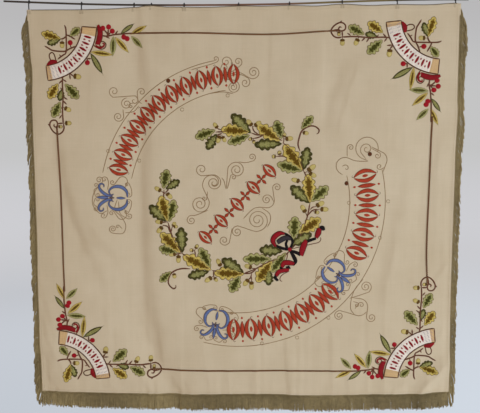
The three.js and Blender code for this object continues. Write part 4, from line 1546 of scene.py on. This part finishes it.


# Hem stitches, the braid that heads the fringe, tacking at the hooks, and a dark overcasting along the
# heading that paints the shadow line under the top edge.

# Each seam: length, width, pitch and slant of its stitches, and the colour of its thread.
seamLooks = {
    "hem_stitches": ((4.6, 0.9, 7.6, 0.0), (196, 172, 138)),
    "fringe_braid": ((7.0, 3.0, 4.4, 0.55), None),
    "hook_tacking": ((6.4, 1.0, 7.0, 0.0), (120, 100, 78)),
    # the dark overcasting stands where the top edge shows only a shadow line: a painted shadow
    "heading_overcast": ((8.0, 2.0, 6.4, 0.3), (96, 84, 68)),
}
hemIn, braidLift = 10.5, 0.9
tacking = {"half": 3.5, "drops": (5.0, 8.5, 12.0), "lift": 0.35}


def sew(name, paths, materialName, seed):
    stitch, color = seamLooks[name]
    material = fibreMaterial(materialName, "cord", color) if color else yarn
    return stitchLine(name, paths, *stitch, material, seed)


def tacks(x):
    heading = follow(np.array([float(x)]), topEdge["x"], topEdge["z"])[0]
    across = np.linspace(x - tacking["half"], x + tacking["half"], 4)
    lift = np.full(4, tacking["lift"])
    return [onFace(across, np.full(4, heading - drop), lift) for drop in tacking["drops"]]


run = np.linspace(0.012, 0.988, 60)
foot, side = np.linspace(0.003, 0.997, 60), np.linspace(0.03, 0.996, 60)
hems = [edgeLine(run, 0, -hemIn), edgeLine(run, 1, hemIn), edgeLine(0, run, hemIn), edgeLine(1, run, -hemIn)]
braids = [edgeLine(foot, 1, 1.6, braidLift), edgeLine(0, side, 1.4, braidLift),
          edgeLine(1, side, -1.4, braidLift)]
seams = [
    sew("hem_stitches", hems, "hem_thread", 6),
    sew("fringe_braid", braids, None, 8),
    sew("hook_tacking", [tack for x in cloth["hooks"] for tack in tacks(x)], "tack_thread", 9),
    sew("heading_overcast", [edgeLine(run, 0, -1.0)], "shadow_line_thread", 12),
]
print("seams sewn,", [triangleCount(p) for p in seams], "triangles")


# Rod and hooks.

# the rod's reddish and golden stretches are painted reflections laid into its colour, over a real patina
rodReflections = ((20, 330, (142, 104, 84)), (330, 200, (132, 112, 70)))
rodPatinaAndReflections = metalMaterial("rod_patina_and_reflections", (52, 42, 36), (84, 70, 54), 0.55, 0.5, rodReflections)
wireFinish = metalMaterial("hook_dark_wire", (30, 27, 26), (58, 52, 48), 0.5, 0.6)
for name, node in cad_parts.items():
    if name == "rod" or name.startswith("hook_"):
        for materialSlot in node.material_slots:
            materialSlot.material = rodPatinaAndReflections if name == "rod" else wireFinish


# Riding, and hiding the CAD nodes that the new cloth and fringes take the place of.

for piece in stitchPieces + ropes + seams:
    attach(piece, "root")
for node, piece in fringes.items():
    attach(piece, "root")
    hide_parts(node)
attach(clothPiece, "root")
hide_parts("banner_cloth")


# Floor, light, camera.

studio = {
    "floorZ": -1.75, "floorSize": 40.0, "floorColor": linear(232, 233, 236), "worldColor": (1, 0.96, 0.9, 1),
    # the backdrop colours paint the room's window light: lighter and bluer to the right and low down, darker
    # at the top
    "backTop": linear(184, 183, 184), "backFar": linear(196, 196, 196), "backMiddle": linear(205, 205, 209),
    "backLeft": linear(190, 198, 209), "backRight": linear(216, 226, 238),
    "shadowReach": (2.0, 8.0), "shadowShare": 0.78, "worldStrength": 0.42,
    "camera": (0.0807, -2.607, -0.2863), "pitch": 7.505, "yaw": -2.005, "roll": -0.436, "lens": 61.757,
}
# lamp rows: place, where it points, size, power, colour
lamps = {
    "window": ((3.9, -2.5, -1.05), (0.1, 0, -1.0), (1.3, 0.5), 96, (0.74, 0.87, 1)),
    "fill": ((-2.6, -2.9, -0.1), (-0.3, 0, -0.6), (2.2, 2.2), 17, (1, 0.9, 0.74)),
    "low": ((0.7, -2.2, -1.25), (0.3, 0, -1.35), (1.1, 0.3), 9, (0.64, 0.84, 1)),
    "behind": ((-1.5, 2.6, 0.6), (0, 0, -0.6), (2.5, 2.5), 40, (1, 1, 1)),
}


def seenShare(tree):
    # 1 for rays that see the surroundings themselves, and 0 for those that light the banner.
    path = addNode(tree, "ShaderNodeLightPath").outputs
    seen = mathNode(tree, "MAXIMUM", path["Is Camera Ray"], path["Is Glossy Ray"])
    return mathNode(tree, "MAXIMUM", seen, path["Is Transmission Ray"])


def mixShaders(tree, share, usual, seen, kind):
    mix = addNode(tree, "ShaderNodeMixShader", {0: share, 1: usual.outputs[0], 2: seen.outputs[0]})
    addNode(tree, kind, {0: mix.outputs[0]})


def buildFloor():
    size, z = studio["floorSize"], studio["floorZ"]
    mesh = bpy.data.meshes.new("floor")
    square = [(-size, -size, z), (size, -size, z), (size, size, z), (-size, size, z)]
    mesh.from_pydata(square, [], [(0, 1, 2, 3)])
    floor = newObject("floor", mesh)
    material = bpy.data.materials.new("floor_pale")
    material.use_nodes = True
    tree = material.node_tree
    tree.nodes.clear()
    place = objectPlace(tree)
    axes = axesOf(tree, place)
    # the seen floor is painted lighter and bluer towards the right and near the banner, as window light
    color = mixColors(tree, fadeNode(tree, axes[0], -1.5, 1.5), studio["backLeft"], studio["backRight"])
    color = mixColors(tree, fadeNode(tree, axes[1], 0.6, 5.5), color, studio["backMiddle"])
    color = mixColors(tree, fadeNode(tree, axes[1], 5.5, 22.0), color, studio["backFar"])
    away = addNode(tree, "ShaderNodeVectorMath", {0: place}, operation="LENGTH").outputs["Value"]
    plain = fadeNode(tree, away, *studio["shadowReach"], studio["shadowShare"], 1.0)
    lit = addNode(tree, "ShaderNodeBsdfDiffuse", {"Color": studio["floorColor"]})
    shown = addNode(tree, "ShaderNodeEmission", {"Color": color})
    mixShaders(tree, times(seenShare(tree), plain), lit, shown, "ShaderNodeOutputMaterial")
    mesh.materials.append(material)


def buildWorld():
    world = bpy.data.worlds.new("studio")
    bpy.context.scene.world = world
    world.use_nodes = True
    tree = world.node_tree
    tree.nodes.clear()
    look = {"Color": studio["worldColor"], "Strength": studio["worldStrength"]}
    soft = addNode(tree, "ShaderNodeBackground", look)
    height = axesOf(tree, addNode(tree, "ShaderNodeTexCoord").outputs["Generated"])[2]
    # the seen sky is painted darker towards the top: painted shade
    color = mixColors(tree, fadeNode(tree, height, 0.0, 0.12), studio["backFar"], studio["backTop"])
    shown = addNode(tree, "ShaderNodeBackground", {"Color": color, "Strength": 1.0})
    mixShaders(tree, seenShare(tree), soft, shown, "ShaderNodeOutputWorld")


def areaLight(name, place, aim, size, power, color):
    light = bpy.data.lights.new(name, "AREA")
    light.shape = "RECTANGLE"
    light.size, light.size_y = size
    light.energy = power
    light.color = color
    lamp = newObject(name, light)
    lamp.location = place
    lamp.rotation_euler = (Vector(aim) - Vector(place)).to_track_quat("-Z", "Y").to_euler()


def buildCamera():
    data = bpy.data.cameras.new("camera")
    data.lens = studio["lens"]
    data.sensor_width = 36.0
    camera = newObject("camera", data)
    pitch, yaw, roll = (math.radians(studio[key]) for key in ("pitch", "yaw", "roll"))
    forward = Vector((math.sin(yaw) * math.cos(pitch), math.cos(yaw) * math.cos(pitch), -math.sin(pitch)))
    level = Vector((math.cos(yaw), -math.sin(yaw), 0))
    right = level * math.cos(roll) + level.cross(forward) * math.sin(roll)
    up = right.cross(forward)
    turn = Matrix((right, up, -forward)).transposed()
    camera.matrix_world = Matrix.Translation(studio["camera"]) @ turn.to_4x4()
    bpy.context.scene.camera = camera


buildFloor()
buildWorld()
for name, settings in lamps.items():
    areaLight(name, *settings)
buildCamera()
bpy.context.scene.view_settings.view_transform = "Standard"
print("studio ready")
